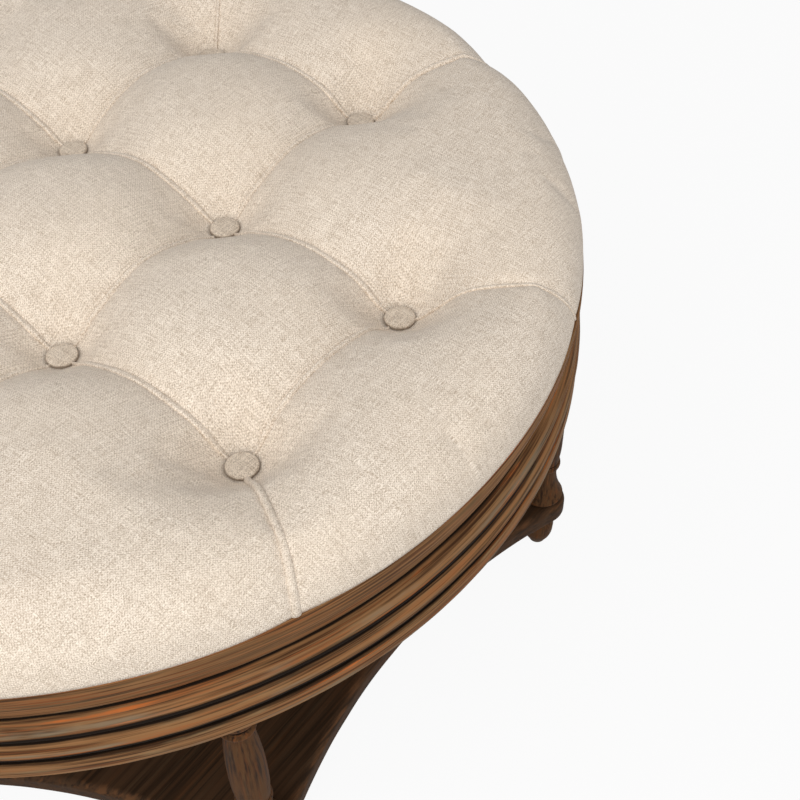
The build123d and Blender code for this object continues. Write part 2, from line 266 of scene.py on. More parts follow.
class Recipe(Nodes):
    """A geometry node tree with named inputs, run on a source and turned into a plain mesh."""

    def __init__(self, name: str, inputs: dict[str, str]) -> None:
        """Makes the tree's interface.

        Args:
            name: The tree's name.
            inputs: Each input's label and socket type, after the geometry.
        """
        super().__init__(bpy.data.node_groups.new(name, "GeometryNodeTree"))
        self.tree.interface.new_socket("Geometry", in_out="OUTPUT", socket_type="NodeSocketGeometry")
        every = {"Geometry": "NodeSocketGeometry", **inputs, "Finish": "NodeSocketMaterial"}
        self.keys = {label: self.tree.interface.new_socket(label, in_out="INPUT", socket_type=kind).identifier
                     for label, kind in every.items()}
        self.group = self.tree.nodes.new("NodeGroupInput")

    def given(self, label: str) -> Signal:
        """Returns one of the named inputs."""
        return Signal(self, self.group.outputs[label])

    def serve(self, geometry: Signal) -> None:
        """Ends the tree in Realize Instances and Set Material.

        Args:
            geometry: What the tree has made.
        """
        real = self.node("GeometryNodeRealizeInstances", {}, {0: geometry})
        dressed = self.node("GeometryNodeSetMaterial", {},
                            {"Geometry": real, "Material": self.given("Finish")})
        self.node("NodeGroupOutput", {}, {0: dressed})

    def run(self, name: str, source: bpy.types.Object, values: dict[str, Any]) -> bpy.types.Object:
        """Runs the tree on a source object, which is then removed.

        Args:
            name: The new piece's name.
            source: The object that carries the geometry.
            values: The named inputs.

        Returns:
            The new piece.
        """
        modifier = source.modifiers.new(self.tree.name, "NODES")
        modifier.node_group = self.tree
        for label, value in values.items():
            modifier[self.keys[label]] = value
        mesh = evaluated_mesh(source)
        source.modifiers.remove(modifier)
        bpy.data.objects.remove(source)
        mesh.polygons.foreach_set("use_smooth", np.ones(len(mesh.polygons), dtype=bool))
        mesh.set_sharp_from_angle(angle=SHARP_TURN)
        return add_object(name, mesh)


def evaluated_mesh(source: bpy.types.Object) -> bpy.types.Mesh:
    """Returns a plain mesh of an object with its modifiers applied."""
    graph = bpy.context.evaluated_depsgraph_get()
    return bpy.data.meshes.new_from_object(source.evaluated_get(graph), preserve_all_data_layers=True,
                                           depsgraph=graph)


def add_object(name: str, data: Optional[bpy.types.ID]) -> bpy.types.Object:
    """Adds an object at the origin to the scene.

    Args:
        name: Its name.
        data: Its mesh, camera or lamp.

    Returns:
        The object.
    """
    made = bpy.data.objects.new(name, data)
    bpy.context.scene.collection.objects.link(made)
    return made


def make_mesh(name: str, vertices: Points, faces: Iterable[Sequence[int]],
              edges: Iterable[Sequence[int]] = ()) -> bpy.types.Mesh:
    """Makes a smooth shaded mesh.

    Args:
        name: Its name.
        vertices: The vertices' places.
        faces: The faces' vertices, in order.
        edges: The ends of loose edges.

    Returns:
        The mesh.
    """
    mesh = bpy.data.meshes.new(name)
    mesh.from_pydata([tuple(v) for v in vertices], list(edges), list(faces))
    mesh.polygons.foreach_set("use_smooth", np.ones(len(mesh.polygons), dtype=bool))
    mesh.update()
    return mesh


def bridge(first: int, second: int, size: int, closed: bool = True) -> list[tuple[int, ...]]:
    """Returns the faces between two rings of vertices.

    Args:
        first: Where the first ring starts.
        second: Where the second ring starts.
        size: How many vertices a ring has.
        closed: Whether the last vertex joins the first.

    Returns:
        The faces.
    """
    return [(first + place, first + (place + 1) % size, second + (place + 1) % size, second + place)
            for place in range(size if closed else size - 1)]


def turn_faces_out(mesh: bpy.types.Mesh) -> None:
    """Turns every face of a closed mesh outwards.

    Args:
        mesh: The mesh.
    """
    work = bmesh.new()
    work.from_mesh(mesh)
    bmesh.ops.recalc_face_normals(work, faces=work.faces)
    work.to_mesh(mesh)
    work.free()


def set_mask(mesh: bpy.types.Mesh, name: str, values: Points) -> None:
    """Stores a float for each vertex."""
    mesh.attributes.new(name, "FLOAT", "POINT").data.foreach_set("value", values.astype(np.float32))


def get_mask(mesh: bpy.types.Mesh, name: str) -> Points:
    """Reads a float attribute.

    Args:
        mesh: The mesh.
        name: The attribute's name.

    Returns:
        Its value at each vertex.
    """
    values = np.empty(len(mesh.vertices), dtype=np.float32)
    mesh.attributes[name].data.foreach_get("value", values)
    return values.astype(float)


def vertex_places(mesh: bpy.types.Mesh) -> Points:
    """Reads where a mesh's vertices are.

    Args:
        mesh: The mesh.

    Returns:
        An array with a row for each vertex.
    """
    flat = np.empty(len(mesh.vertices) * 3, dtype=np.float32)
    mesh.vertices.foreach_get("co", flat)
    return flat.reshape(-1, 3).astype(float)


def ripple(place: Sequence[float], scale: float, seed: float) -> float:
    """Returns a smooth random value from about -1 to 1 at a place."""
    return noise.noise(Vector(place) * scale + Vector((seed, 2 * seed, 3 * seed)))


def finish_piece(piece: bpy.types.Object, material: Optional[bpy.types.Material],
                 replaced: Sequence[str]) -> bpy.types.Object:
    """Dresses a piece and ties it to the frame.

    Args:
        piece: The finished object.
        material: Its finish, if the mesh doesn't have it yet.
        replaced: The CAD nodes that it stands for.

    Returns:
        The same piece.
    """
    if material:
        piece.data.materials.clear()
        piece.data.materials.append(material)
    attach(piece, BODY)
    if replaced:
        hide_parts(*replaced)
    triangles = sum(len(polygon.vertices) - 2 for polygon in piece.data.polygons)
    log.info("%s: %d triangles, stands for %d nodes", piece.name, triangles, len(replaced))
    return piece


@dataclass
class Outline:
    """A cutter's outline in the half plane of radius and level, drawn by lines and arcs."""

    start: tuple[float, float]
    step: float = 0.7 * MM
    points: list[tuple[float, float]] = field(default_factory=list)

    def __post_init__(self) -> None:
        """Begins at the start."""
        self.points = [self.start]

    def line(self, *ends: tuple[float, float]) -> "Outline":
        """Draws straight runs.

        Args:
            *ends: Where each run ends.

        Returns:
            The outline.
        """
        for end in ends:
            self.arc(end, 0.0)
        return self

    def arc(self, end: tuple[float, float], belly: float) -> "Outline":
        """Draws an arc.

        Args:
            end: Where it ends.
            belly: How far it swells out, away from the axis.

        Returns:
            The outline.
        """
        start = self.points[-1]
        dx, dz = end[0] - start[0], end[1] - start[1]
        span = math.hypot(dx, dz)
        count = max(1, round(span / self.step))
        side = 1 if dz > 0 else -1
        across = (side * dz / span, -side * dx / span)
        for index in range(1, count + 1):
            share = index / count
            swell = 4 * belly * share * (1 - share)
            self.points.append((start[0] + dx * share + across[0] * swell,
                                start[1] + dz * share + across[1] * swell))
        return self

    def table(self) -> Points:
        """Returns the points as an array of rows."""
        return np.array(self.points)


@dataclass
class WearAndShadeMasks:
    """Masks along an outline: its arrises, where hands wear it; its hollows, darkened with painted shade and
    dirt; and its undersides.
    """

    ridge: Points
    hollow: Points
    under: Points
    run: Points

    @classmethod
    def of(cls, outline: Points, spread: float = 0.7 * MM) -> "WearAndShadeMasks":
        """Works the masks out from how the outline turns.

        Args:
            outline: Points from the top down along the visible face.
            spread: How far the wear and the painted shade reach on each side of a turn.

        Returns:
            The masks, one value for each point.
        """
        steps = np.diff(outline, axis=0)
        lengths = np.maximum(np.hypot(steps[:, 0], steps[:, 1]), 1e-9)
        heading = np.unwrap(np.arctan2(steps[:, 1], steps[:, 0]))
        run = np.concatenate([[0.0], np.cumsum(lengths)])
        turns = np.diff(heading)
        away = np.abs(run[:, None] - run[None, 1:-1])
        ridge = np.exp(-(away / spread) ** 2) @ np.clip(-turns, 0, None)
        hollow = np.exp(-(away / (1.3 * spread)) ** 2) @ np.clip(turns, 0, None)
        normal_z = np.interp(run, (run[1:] + run[:-1]) / 2, steps[:, 0] / lengths)
        return cls(np.clip(ridge / 0.9, 0, 1), np.clip(hollow / 1.1, 0, 1), np.clip(-normal_z, 0, 1), run)

    def store(self, mesh: bpy.types.Mesh, repeats: int = 1, order: int = 1) -> None:
        """Stores the masks on a mesh whose vertices run along the outline, or back with an order of -1."""
        for name in WEAR_AND_SHADE_NAMES:
            set_mask(mesh, name, np.tile(getattr(self, name)[::order], repeats))


class Lay(Enum):
    """What a weave follows."""

    CLOTH_MAP = "weave"
    PLAN = "plan"


class Grain(Enum):
    """Which way the wood's fibres and the brushed finish run."""

    ROUND_THE_RING = 1
    UPRIGHT = 2
    ALONG_BOARDS = 3


@dataclass(frozen=True)
class LinenWeave:
    """Natural slub linen: flecked threads of uneven thickness."""

    name: str = "natural_linen"
    lay: Lay = Lay.CLOTH_MAP
    thread: float = 1.3 * MM
    slub_length: float = 22 * MM
    light: Colour = shade(252, 240, 225)
    dark: Colour = shade(182, 165, 146)
    warm: Colour = shade(223, 204, 181)
    # The shade colour below is painted shade: it darkens the cloth at the folds' feet and round the tufts and
    # buttons.
    painted_shade: Colour = shade(104, 88, 72)
    wander_scale: float = 45.0
    wander: float = 1.6 * MM
    thread_tone: float = 1.4
    fleck_tone: float = 3.1
    cell_tone: float = 0.4
    tone_cut: float = 2.61
    broad_scale: float = 7.0
    warm_share: float = 0.5
    painted_shade_share: float = 0.75
    relief_depth: float = 0.6 * MM

    def make(self) -> bpy.types.Material:
        """Builds the shader.

        Returns:
            The finished material.
        """
        shader = Shader(self.name)
        flat = shader.chart(self.lay.value) if self.lay is Lay.CLOTH_MAP else shader.place()
        bent = shader.shift(flat, shader.drift(shader.stretch(flat, self.wander_scale), self.wander))
        fine, long = 1 / self.thread, 1 / self.slub_length
        warp = shader.cloud(shader.stretch(bent, fine, long, 1.0), 4.0, 0.7)
        weft = shader.cloud(shader.stretch(bent, long, fine, 1.0), 4.0, 0.7)
        fleck = shader.cloud(shader.stretch(bent, fine * 1.15), 3.0, 0.7)
        turn = math.pi / self.thread
        over = (shader.axis(bent, 0) * turn).sine() * (shader.axis(bent, 1) * turn).sine()
        cells = over * 0.5 + 0.5
        tone = (warp * self.thread_tone + weft * self.thread_tone + fleck * self.fleck_tone
                + cells * self.cell_tone - self.tone_cut).at_most_one()
        broad = shader.cloud(shader.stretch(flat, self.broad_scale), 2.0)
        colour = shader.mix(self.dark, self.light, tone)
        colour = shader.mix(colour, self.warm, (broad - 0.4) * self.warm_share)
        # Painted shade: darkens the linen by the mask that marks the folds' feet and the rings round the
        # tufts and buttons.
        colour = shader.mix(colour, self.painted_shade, shader.mask("painted_shade") * self.painted_shade_share)
        height = cells * 0.55 + warp * 0.5 + weft * 0.5 + fleck * 0.5
        normal = shader.relief(height, self.relief_depth, 0.8)
        return shader.skin(Base_Color=colour, Roughness=0.92, Normal=normal, Sheen_Weight=0.12,
                           Sheen_Roughness=0.6, Specular_IOR_Level=0.18)


@dataclass(frozen=True)
class WornWood:
    """Brown wood with a brushed, rubbed-back finish: worn arrises, grey washes, and hollows darkened with
    painted shade and dirt.
    """

    name: str = "worn_wood"
    grain: Grain = Grain.ROUND_THE_RING
    deep: Colour = shade(70, 46, 28)
    middle: Colour = shade(142, 103, 67)
    red: Colour = shade(156, 90, 48)
    wash: Colour = shade(144, 121, 88)
    patina: Colour = shade(124, 114, 96)
    bare: Colour = shade(196, 108, 52)
    # The hollow colour is near black: painted shade and dirt laid into the hollows.
    hollow: Colour = shade(28, 19, 12)
    red_share: float = 0.75
    wash_share: float = 0.55
    patina_share: float = 0.6
    bare_share: float = 0.8
    relief_depth: float = 0.35 * MM

    def fibres(self, shader: Shader) -> Signal:
        """Makes coordinates that are short along the fibres and long across them.

        Args:
            shader: The material under construction.

        Returns:
            The coordinates.
        """
        place, run = shader.place(), shader.mask("run")
        x, y, z = (shader.axis(place, index) for index in range(3))
        if self.grain is Grain.ROUND_THE_RING:
            return shader.vector(x * 7.0, y * 7.0, run * 420.0)
        if self.grain is Grain.UPRIGHT:
            return shader.vector(x * 300.0, y * 300.0, z * 16.0)
        return shader.vector(x * 5.0, y * 190.0, z * 190.0)

    def make(self) -> bpy.types.Material:
        """Builds the shader.

        Returns:
            The finished material.
        """
        shader = Shader(self.name)
        fibres = self.fibres(shader)
        streak = shader.cloud(fibres, 4.0, 0.6)
        second = shader.cloud(shader.shift(fibres, shader.vector(3.7, 9.1, 5.3)), 3.0, 0.55)
        third = shader.cloud(shader.stretch(fibres, 2.3, 2.3, 0.45), 3.0, 0.6)
        patch = shader.cloud(shader.stretch(shader.place(), 16.0, 16.0, 30.0), 3.0, 0.6)
        ridge, hollow, under = shader.mask("ridge"), shader.mask("hollow"), shader.mask("under")
        colour = shader.mix(self.deep, self.middle, streak.ramp(0.34, 0.58))
        colour = shader.mix(colour, self.red, second.ramp(0.50, 0.72) * self.red_share)
        colour = shader.mix(colour, self.wash, third.ramp(0.52, 0.74) * self.wash_share)
        washed = (under * 2.4).at_most_one() * third.ramp(0.36, 0.62) * patch.ramp(0.3, 0.58)
        colour = shader.mix(colour, self.patina, washed * self.patina_share)
        worn = (ridge * 1.1 + (second - 0.5) * 2.4 + (patch - 0.5) * 2.0).ramp(0.5, 1.1)
        colour = shader.mix(colour, self.bare, worn * self.bare_share)
        # Painted shade and dirt: the hollow mask, broken up by noise, darkens the hollows to near black.
        hollow_shade_and_dirt = (hollow * 1.5 + (third - 0.5) * 0.8).ramp(0.3, 0.85)
        colour = shader.mix(colour, self.hollow, hollow_shade_and_dirt)
        rough = (streak * 0.3 + 0.52 + hollow_shade_and_dirt * 0.2).at_most_one()
        height = streak * 0.6 + second * 0.4
        normal = shader.relief(height, self.relief_depth, 0.55)
        return shader.skin(Base_Color=colour, Roughness=rough, Normal=normal, Specular_IOR_Level=0.08)


@dataclass(frozen=True)
class PlainTimber:
    """Unfinished inner wood, planed."""

    name: str
    light: Colour = shade(196, 164, 120)
    dark: Colour = shade(158, 122, 80)
    along: tuple[float, float, float] = (9.0, 260.0, 260.0)

    def make(self) -> bpy.types.Material:
        """Builds the shader.

        Returns:
            The finished material.
        """
        shader = Shader(self.name)
        fibres = shader.stretch(shader.place(), *self.along)
        streak = shader.cloud(fibres, 4.0, 0.6)
        colour = shader.mix(self.dark, self.light, streak.ramp(0.3, 0.7))
        return shader.skin(Base_Color=colour, Roughness=streak * 0.3 + 0.5,
                           Normal=shader.relief(streak, 0.3 * MM, 0.5))


@dataclass(frozen=True)
class Speckled:
    """A soft or moulded stuff with a fine even texture: foam, felt, cloth backing, twine or plastic."""

    name: str
    light: Colour
    dark: Colour
    cell: float
    depth: float
    roughness: float = 0.9

    def make(self) -> bpy.types.Material:
        """Builds the shader.

        Returns:
            The finished material.
        """
        shader = Shader(self.name)
        grain = shader.cloud(shader.stretch(shader.place(), 1 / self.cell), 3.0, 0.65)
        colour = shader.mix(self.dark, self.light, grain.ramp(0.32, 0.68))
        return shader.skin(Base_Color=colour, Roughness=self.roughness,
                           Normal=shader.relief(grain, self.depth, 0.7))


@dataclass(frozen=True)
class ZincSteel:
    """Zinc plated steel fixings, dulled in patches."""

    name: str = "zinc_steel"
    bright: Colour = shade(196, 198, 200)
    dull: Colour = shade(132, 132, 128)

    def make(self) -> bpy.types.Material:
        """Builds the shader.

        Returns:
            The finished material.
        """
        shader = Shader(self.name)
        bloom = shader.cloud(shader.stretch(shader.place(), 420.0), 3.0)
        colour = shader.mix(self.dull, self.bright, bloom.ramp(0.3, 0.7))
        return shader.skin(Base_Color=colour, Roughness=0.62 - bloom * 0.5, Metallic=1.0)


def set_weave_map(mesh: bpy.types.Mesh, flat: Points) -> None:
    """Stores the UV map that the weave follows.

    Args:
        mesh: The cloth's mesh.
        flat: Each vertex's place in the flat cloth.
    """
    corner = np.empty(len(mesh.loops), dtype=np.int32)
    mesh.loops.foreach_get("vertex_index", corner)
    chart = mesh.uv_layers.new(name=Lay.CLOTH_MAP.value)
    chart.data.foreach_set("uv", flat[corner].astype(np.float32).ravel())


@dataclass
class Lattice:
    """The square lattice of tufts, with the rows that pleats follow and the pleats to the rim."""

    pitch: float
    rim_angle: float = 31.2
    places: list[tuple[float, float]] = field(default_factory=list)
    rows: list[tuple[tuple[float, float], tuple[float, float]]] = field(default_factory=list)
    columns: list[tuple[tuple[float, float], tuple[float, float]]] = field(default_factory=list)
    rims: list[tuple[tuple[float, float], float]] = field(default_factory=list)

    def __post_init__(self) -> None:
        """Lays the tufts out: four by four, without the corners."""
        half, far = self.pitch / 2, self.pitch * 3 / 2
        stops = (-far, -half, half, far)
        self.places = [(x, y) for x in stops for y in stops if min(abs(x), abs(y)) < far]
        for place in stops:
            reach = far if abs(place) < far else half
            ends = [stop for stop in stops if abs(stop) <= reach]
            for low, high in zip(ends, ends[1:]):
                self.rows.append(((low, place), (high, place)))
                self.columns.append(((place, low), (place, high)))
        for turn in range(4):
            for side in (-1, 1):
                spot = Matrix.Rotation(turn * math.pi / 2, 2) @ Vector((far, side * half))
                self.rims.append(((spot.x, spot.y), 90.0 * turn + side * self.rim_angle))


@dataclass
class TuftedCushion:
    """The linen cushion: crowned panels drawn down at the tufts, with a rounded shoulder all round."""

    radius: float
    joint_level: float
    crown_level: float
    sunk_radius: float
    sunk_level: float
    seat_level: float
    lattice: Lattice
    draw_in: float = 0.4 * MM
    shoulder: float = 42 * MM
    crown_fall: float = 3 * MM
    crown_steps: int = 60
    shoulder_steps: int = 40
    side_steps: int = 12
    cell_count: int = 15
    grid_radius: float = 398 * MM
    valley: float = 27 * MM
    rim_valley: float = 20 * MM
    pit_reach: float = 70 * MM
    floor_radius: float = 16.2 * MM
    crease: float = 3.6 * MM
    pillow: float = 2.6
    cloth_rise: float = 5.0 * MM
    slack: float = 2.0 * MM
    blend: float = 1.5 * MM
    fade_runs: tuple[float, ...] = (330 * MM, 430 * MM, 475 * MM)
    fade_shares: tuple[float, ...] = (1.0, 0.62, 0.28, 0.12)
    relax_from: float = 345 * MM
    relax_over: float = 30 * MM
    relax_step: float = 0.6
    relax_rounds: int = 30
    rim_crease: float = 0.5
    rim_crease_width: float = 4.5 * MM
    row_crease: float = 0.9
    crease_width: float = 3.4 * MM
    crease_start: float = 12 * MM
    pressure: float = 4.0
    stiffness: float = 2.0
    frames: int = 20
    held_pleat: float = 4 * MM
    held_rim: float = 6 * MM
    sag_limit: float = 6 * MM
    # The three fields below lay a painted shade ring round each tuft, where the cloth meets the button.
    painted_shade_share: float = 0.8
    painted_shade_radius: float = 13.5 * MM
    painted_shade_width: float = 2.6 * MM

    def section(self) -> Points:
        """Lays out the plain section from the middle to under the rim.

        Returns:
            A row for each point: its run, radius and level, and its normal out and up.
        """
        rows = []
        shoulder_radius = self.radius - self.shoulder
        shoulder_level = self.crown_level - self.crown_fall
        for share in np.linspace(0, 1, self.crown_steps):
            rows.append((share * shoulder_radius, self.crown_level - self.crown_fall * share * share))
        for angle in np.linspace(0, math.pi / 2, self.shoulder_steps)[1:]:
            rows.append((shoulder_radius + self.shoulder * math.sin(angle),
                         shoulder_level - self.shoulder * (1 - math.cos(angle))))
        low = rows[-1][1]
        for share in np.linspace(0, 1, self.side_steps)[1:]:
            rows.append((self.radius - self.draw_in * share * share, low + (self.joint_level - low) * share))
        table = np.array(rows)
        steps = np.diff(table, axis=0)
        run = np.concatenate([[0.0], np.cumsum(np.hypot(steps[:, 0], steps[:, 1]))])
        heading = np.arctan2(np.gradient(table[:, 1], run), np.gradient(table[:, 0], run))
        return np.column_stack([run, table, -np.sin(heading), np.cos(heading)])

    def grid(self) -> tuple[Points, list[tuple[int, ...]], list[int]]:
        """Lays out the cloth in its flat state.

        Returns:
            The flat places, the faces, and the loop of vertices at the grid's edge in order.
        """
        cell = self.lattice.pitch / 2 / self.cell_count
        reach = int(self.grid_radius / cell)
        limit = self.grid_radius / cell - 1 / 3
        kept = [(i, j) for i in range(-reach, reach) for j in range(-reach, reach)
                if max(math.hypot(i + a, j + b) for a in (0, 1) for b in (0, 1)) < limit]
        index: dict[tuple[int, int], int] = {}
        faces, uses = [], {}
        for i, j in kept:
            corners = [(i, j), (i + 1, j), (i + 1, j + 1), (i, j + 1)]
            for corner in corners:
                index.setdefault(corner, len(index))
                uses[corner] = uses.get(corner, 0) + 1
            faces.append(tuple(index[corner] for corner in corners))
        flat = np.array(list(index)) * cell
        edge = [index[corner] for corner, count in uses.items() if count < 4]
        angles = np.arctan2(flat[edge, 1], flat[edge, 0])
        loop = [edge[place] for place in np.argsort(angles)]
        radii = np.hypot(flat[loop, 0], flat[loop, 1])
        flat[loop] *= (self.grid_radius / radii)[:, None]
        return self.relax(flat, faces, loop), faces, loop

    def relax(self, flat: Points, faces: list[tuple[int, ...]], loop: list[int]) -> Points:
        """Evens out the cells next to the round edge.

        Args:
            flat: The flat places.
            faces: The cells.
            loop: The vertices of the edge, which stay.

        Returns:
            The new flat places.
        """
        quads = np.array(faces)
        pairs = np.concatenate([quads[:, [0, 1]], quads[:, [1, 2]], quads[:, [2, 3]], quads[:, [3, 0]]])
        far = np.hypot(flat[:, 0], flat[:, 1])
        weight = np.clip((far - self.relax_from) / self.relax_over, 0, 1)
        weight[loop] = 0
        for _ in range(self.relax_rounds):
            total, count = np.zeros_like(flat), np.zeros(len(flat))
            for a, b in ((0, 1), (1, 0)):
                np.add.at(total, pairs[:, a], flat[pairs[:, b]])
                np.add.at(count, pairs[:, a], 1)
            flat = flat + (total / count[:, None] - flat) * (self.relax_step * weight)[:, None]
        return flat

    def from_tufts(self, flat: Points) -> Points:
        """Returns the distance from each flat place to every tuft, a row for each tuft."""
        return np.array([np.hypot(flat[:, 0] - x, flat[:, 1] - y) for x, y in self.lattice.places])

    def nearness(self, flat: Points, start: Sequence[float], end: Sequence[float]) -> Points:
        """Measures how far each flat place is from a straight pleat.

        Args:
            flat: The flat places.
            start: The pleat's start.
            end: Its end.

        Returns:
            The distances.
        """
        a, b = np.array(start), np.array(end)
        along = np.clip(((flat - a) @ (b - a)) / ((b - a) @ (b - a)), 0, 1)
        return np.linalg.norm(flat - a - along[:, None] * (b - a), axis=1)

    def rim_end(self, start: Sequence[float], angle: float, run: float) -> tuple[float, float]:
        """Finds where a rim pleat reaches a given run from the middle.

        Args:
            start: The tuft that it starts from.
            angle: Its direction, in degrees.
            run: The run.

        Returns:
            The flat place.
        """
        way = (math.cos(math.radians(angle)), math.sin(math.radians(angle)))
        along = start[0] * way[0] + start[1] * way[1]
        across = start[0] ** 2 + start[1] ** 2 - along ** 2
        length = math.sqrt(run * run - across) - along
        return (start[0] + way[0] * length, start[1] + way[1] * length)

    def depth(self, flat: Points) -> Points:
        """Works out how far the tufts, pleats and rim pleats draw the cloth down.

        Args:
            flat: The flat places.

        Returns:
            The depth under the plain section at each place.
        """
        half = self.lattice.pitch / 2
        run = np.hypot(flat[:, 0], flat[:, 1])

        def family(pleats: Iterable[tuple[Sequence[float], Sequence[float]]]) -> Points:
            """Returns how strongly the nearest of the pleats pulls, from zero to one."""
            nearest = np.min([self.nearness(flat, a, b) for a, b in pleats], axis=0)
            return np.clip(1 - nearest / half, 0, 1) ** self.pillow

        total = self.section()[-1, 0]
        rims = [(start, self.rim_end(start, angle, total)) for start, angle in self.lattice.rims]
        fade = np.interp(run, [*self.fade_runs, total], self.fade_shares)
        pulls = [family(self.lattice.rows), family(self.lattice.columns),
                 family(rims) * fade * self.rim_valley / self.valley]
        drawn = self.valley * sum(pull ** 1.5 for pull in pulls) ** (1 / 1.5)
        to_tuft = self.from_tufts(flat)
        nearest = to_tuft.min(axis=0)
        full = np.interp(run, *self.section()[:, [0, 2]].T) - self.seat_level - self.cloth_rise
        at_tuft = {place: self.valley * (2 + (1 if max(map(abs, place)) > half * 2 else 0)
                                         * (self.rim_valley / self.valley) ** 1.5) ** (1 / 1.5)
                   for place in self.lattice.places}
        left = np.array([at_tuft[self.lattice.places[index]] for index in to_tuft.argmin(axis=0)])
        drawn = drawn + (full - left) * np.exp(-(nearest / self.pit_reach) ** 3)
        collar = full - np.clip(nearest - self.floor_radius, 0, None)
        return np.logaddexp(drawn / self.blend, collar / self.blend) * self.blend

    def crease_depth(self, flat: Points) -> Points:
        """Works out the narrow groove along every pleat.

        Args:
            flat: The flat places.

        Returns:
            The groove's depth at each place.
        """
        groove = np.zeros(len(flat))
        total = self.section()[-1, 0]
        for start, angle in self.lattice.rims:
            near = self.nearness(flat, start, self.rim_end(start, angle, total))
            groove = np.maximum(groove, self.rim_crease * np.exp(-(near / self.rim_crease_width) ** 2))
        for pleats, strength in ((self.lattice.rows, self.row_crease), (self.lattice.columns, 1.0)):
            for start, end in pleats:
                near = self.nearness(flat, start, end)
                groove = np.maximum(groove, strength * np.exp(-(near / self.crease_width) ** 2))
        nearest = self.from_tufts(flat).min(axis=0)
        return self.crease * groove * np.clip((nearest - self.floor_radius) / self.crease_start, 0, 1)

    def surface(self, flat: Points, depth: Points) -> Points:
        """Lays flat places on the plain section and sinks them along its normal.

        Args:
            flat: The flat places.
            depth: How far each one is sunk.

        Returns:
            The places in space.
        """
        run = np.hypot(flat[:, 0], flat[:, 1])
        section = self.section()
        radius, level, out, up = (np.interp(run, section[:, 0], column) for column in section[:, 1:].T)
        facing = np.where(run[:, None] > 1e-9, flat / np.maximum(run, 1e-9)[:, None], 0)
        radius, level = radius - out * depth, level - up * depth
        return np.column_stack([facing * radius[:, None], level])

    def mesh(self) -> tuple[bpy.types.Mesh, Points]:
        """Builds the cloth before it is stuffed.

        Returns:
            The mesh and the flat place of every vertex.
        """
        flat, faces, loop = self.grid()
        total = self.section()[-1, 0]
        count = round((total - self.grid_radius) / (self.lattice.pitch / 2 / self.cell_count))
        runs = np.linspace(self.grid_radius, total, count + 1)[1:]
        angles = np.arctan2(flat[loop, 1], flat[loop, 0])
        rings = [list(loop)]
        for run in runs:
            rings.append(list(range(len(flat), len(flat) + len(loop))))
            flat = np.vstack([flat, np.column_stack([np.cos(angles), np.sin(angles)]) * run])
        places = self.surface(flat, self.depth(flat) + self.slack * (np.hypot(*flat.T) < total - 9 * MM))
        for inner, outer in zip(rings, rings[1:]):
            for index in range(len(loop)):
                after = (index + 1) % len(loop)
                faces.append((inner[index], outer[index], outer[after], inner[after]))
        return make_mesh("cushion_cloth", places, faces), flat

    def stuff(self, source: bpy.types.Object, flat: Points) -> None:
        """Swells the cloth with pressure while the tufts, pleats and rim hold it.

        Args:
            source: The cloth.
            flat: The flat place of every vertex.
        """
        start = vertex_places(source.data)
        nearest = self.from_tufts(flat).min(axis=0)
        pleats = self.lattice.rows + self.lattice.columns
        pleat = np.min([self.nearness(flat, start, end) for start, end in pleats], axis=0)
        free = (nearest > 1.5 * self.floor_radius) & (pleat > self.held_pleat)
        free &= np.hypot(*flat.T) < self.section()[-1, 0] - self.held_rim
        pins = source.vertex_groups.new(name="held")
        pins.add([int(index) for index in np.flatnonzero(~free)], 1.0, "REPLACE")
        modifier = source.modifiers.new("stuffing", "CLOTH")
        settings = modifier.settings
        settings.quality = 6
        settings.use_pressure = True
        settings.uniform_pressure_force = self.pressure
        settings.vertex_group_mass = "held"
        settings.effector_weights.gravity = 0
        settings.bending_stiffness = self.stiffness
        modifier.point_cache.frame_start, modifier.point_cache.frame_end = 1, self.frames
        for frame in range(1, self.frames + 1):
            bpy.context.scene.frame_set(frame)
        swollen = evaluated_mesh(source)
        moved = vertex_places(swollen) - start
        source.modifiers.remove(modifier)
        bpy.context.scene.frame_set(1)
        length = np.linalg.norm(moved, axis=1)
        moved *= (self.sag_limit / np.maximum(length, self.sag_limit))[:, None]
        log.info("stuffing moved the cloth by up to %.1f mm", length.max() / MM)
        source.data.vertices.foreach_set("co", (start + moved).astype(np.float32).ravel())
        source.data.update()

    def build(self, material: bpy.types.Material) -> bpy.types.Object:
        """Builds and dresses the cushion.

        Args:
            material: The linen.

        Returns:
            The finished piece.
        """
        mesh, flat = self.mesh()
        for axis, name in enumerate(("flat_x", "flat_y")):
            set_mask(mesh, name, flat[:, axis])
        source = add_object("cushion_cloth", mesh)
        self.stuff(source, flat)
        smooth = source.modifiers.new("smooth", "SUBSURF")
        smooth.levels = smooth.render_levels = 1
        fine = evaluated_mesh(source)
        bpy.data.objects.remove(source)
        self.crease_and_map(fine)
        self.close(fine)
        piece = add_object("tufted_cushion", fine)
        finish_piece(piece, material, ["cushion_cover"])
        return piece

    def crease_and_map(self, mesh: bpy.types.Mesh) -> None:
        """Sinks the pleats' grooves, adds the cloth's small unevenness and makes the weave's map.

        Args:
            mesh: The stuffed cloth.
        """
        places = vertex_places(mesh)
        flat = np.column_stack([get_mask(mesh, "flat_x"), get_mask(mesh, "flat_y")])
        section = self.section()
        run = np.hypot(flat[:, 0], flat[:, 1])
        out, up = (np.interp(run, section[:, 0], column) for column in section[:, 3:].T)
        facing = flat / np.maximum(run, 1e-9)[:, None]
        uneven = np.array([ripple((u, v, 0), 14.0, 1.7) * 0.9 + ripple((u, v, 0), 42.0, 5.1) * 0.22
                           for u, v in flat]) * MM
        sink = (self.crease_depth(flat) + uneven) * np.clip((section[-1, 0] - run) / (4 * MM), 0.25, 1)
        places -= np.column_stack([facing * (out * sink)[:, None], up * sink])
        mesh.vertices.foreach_set("co", places.astype(np.float32).ravel())
        nearest = self.from_tufts(flat).min(axis=0)
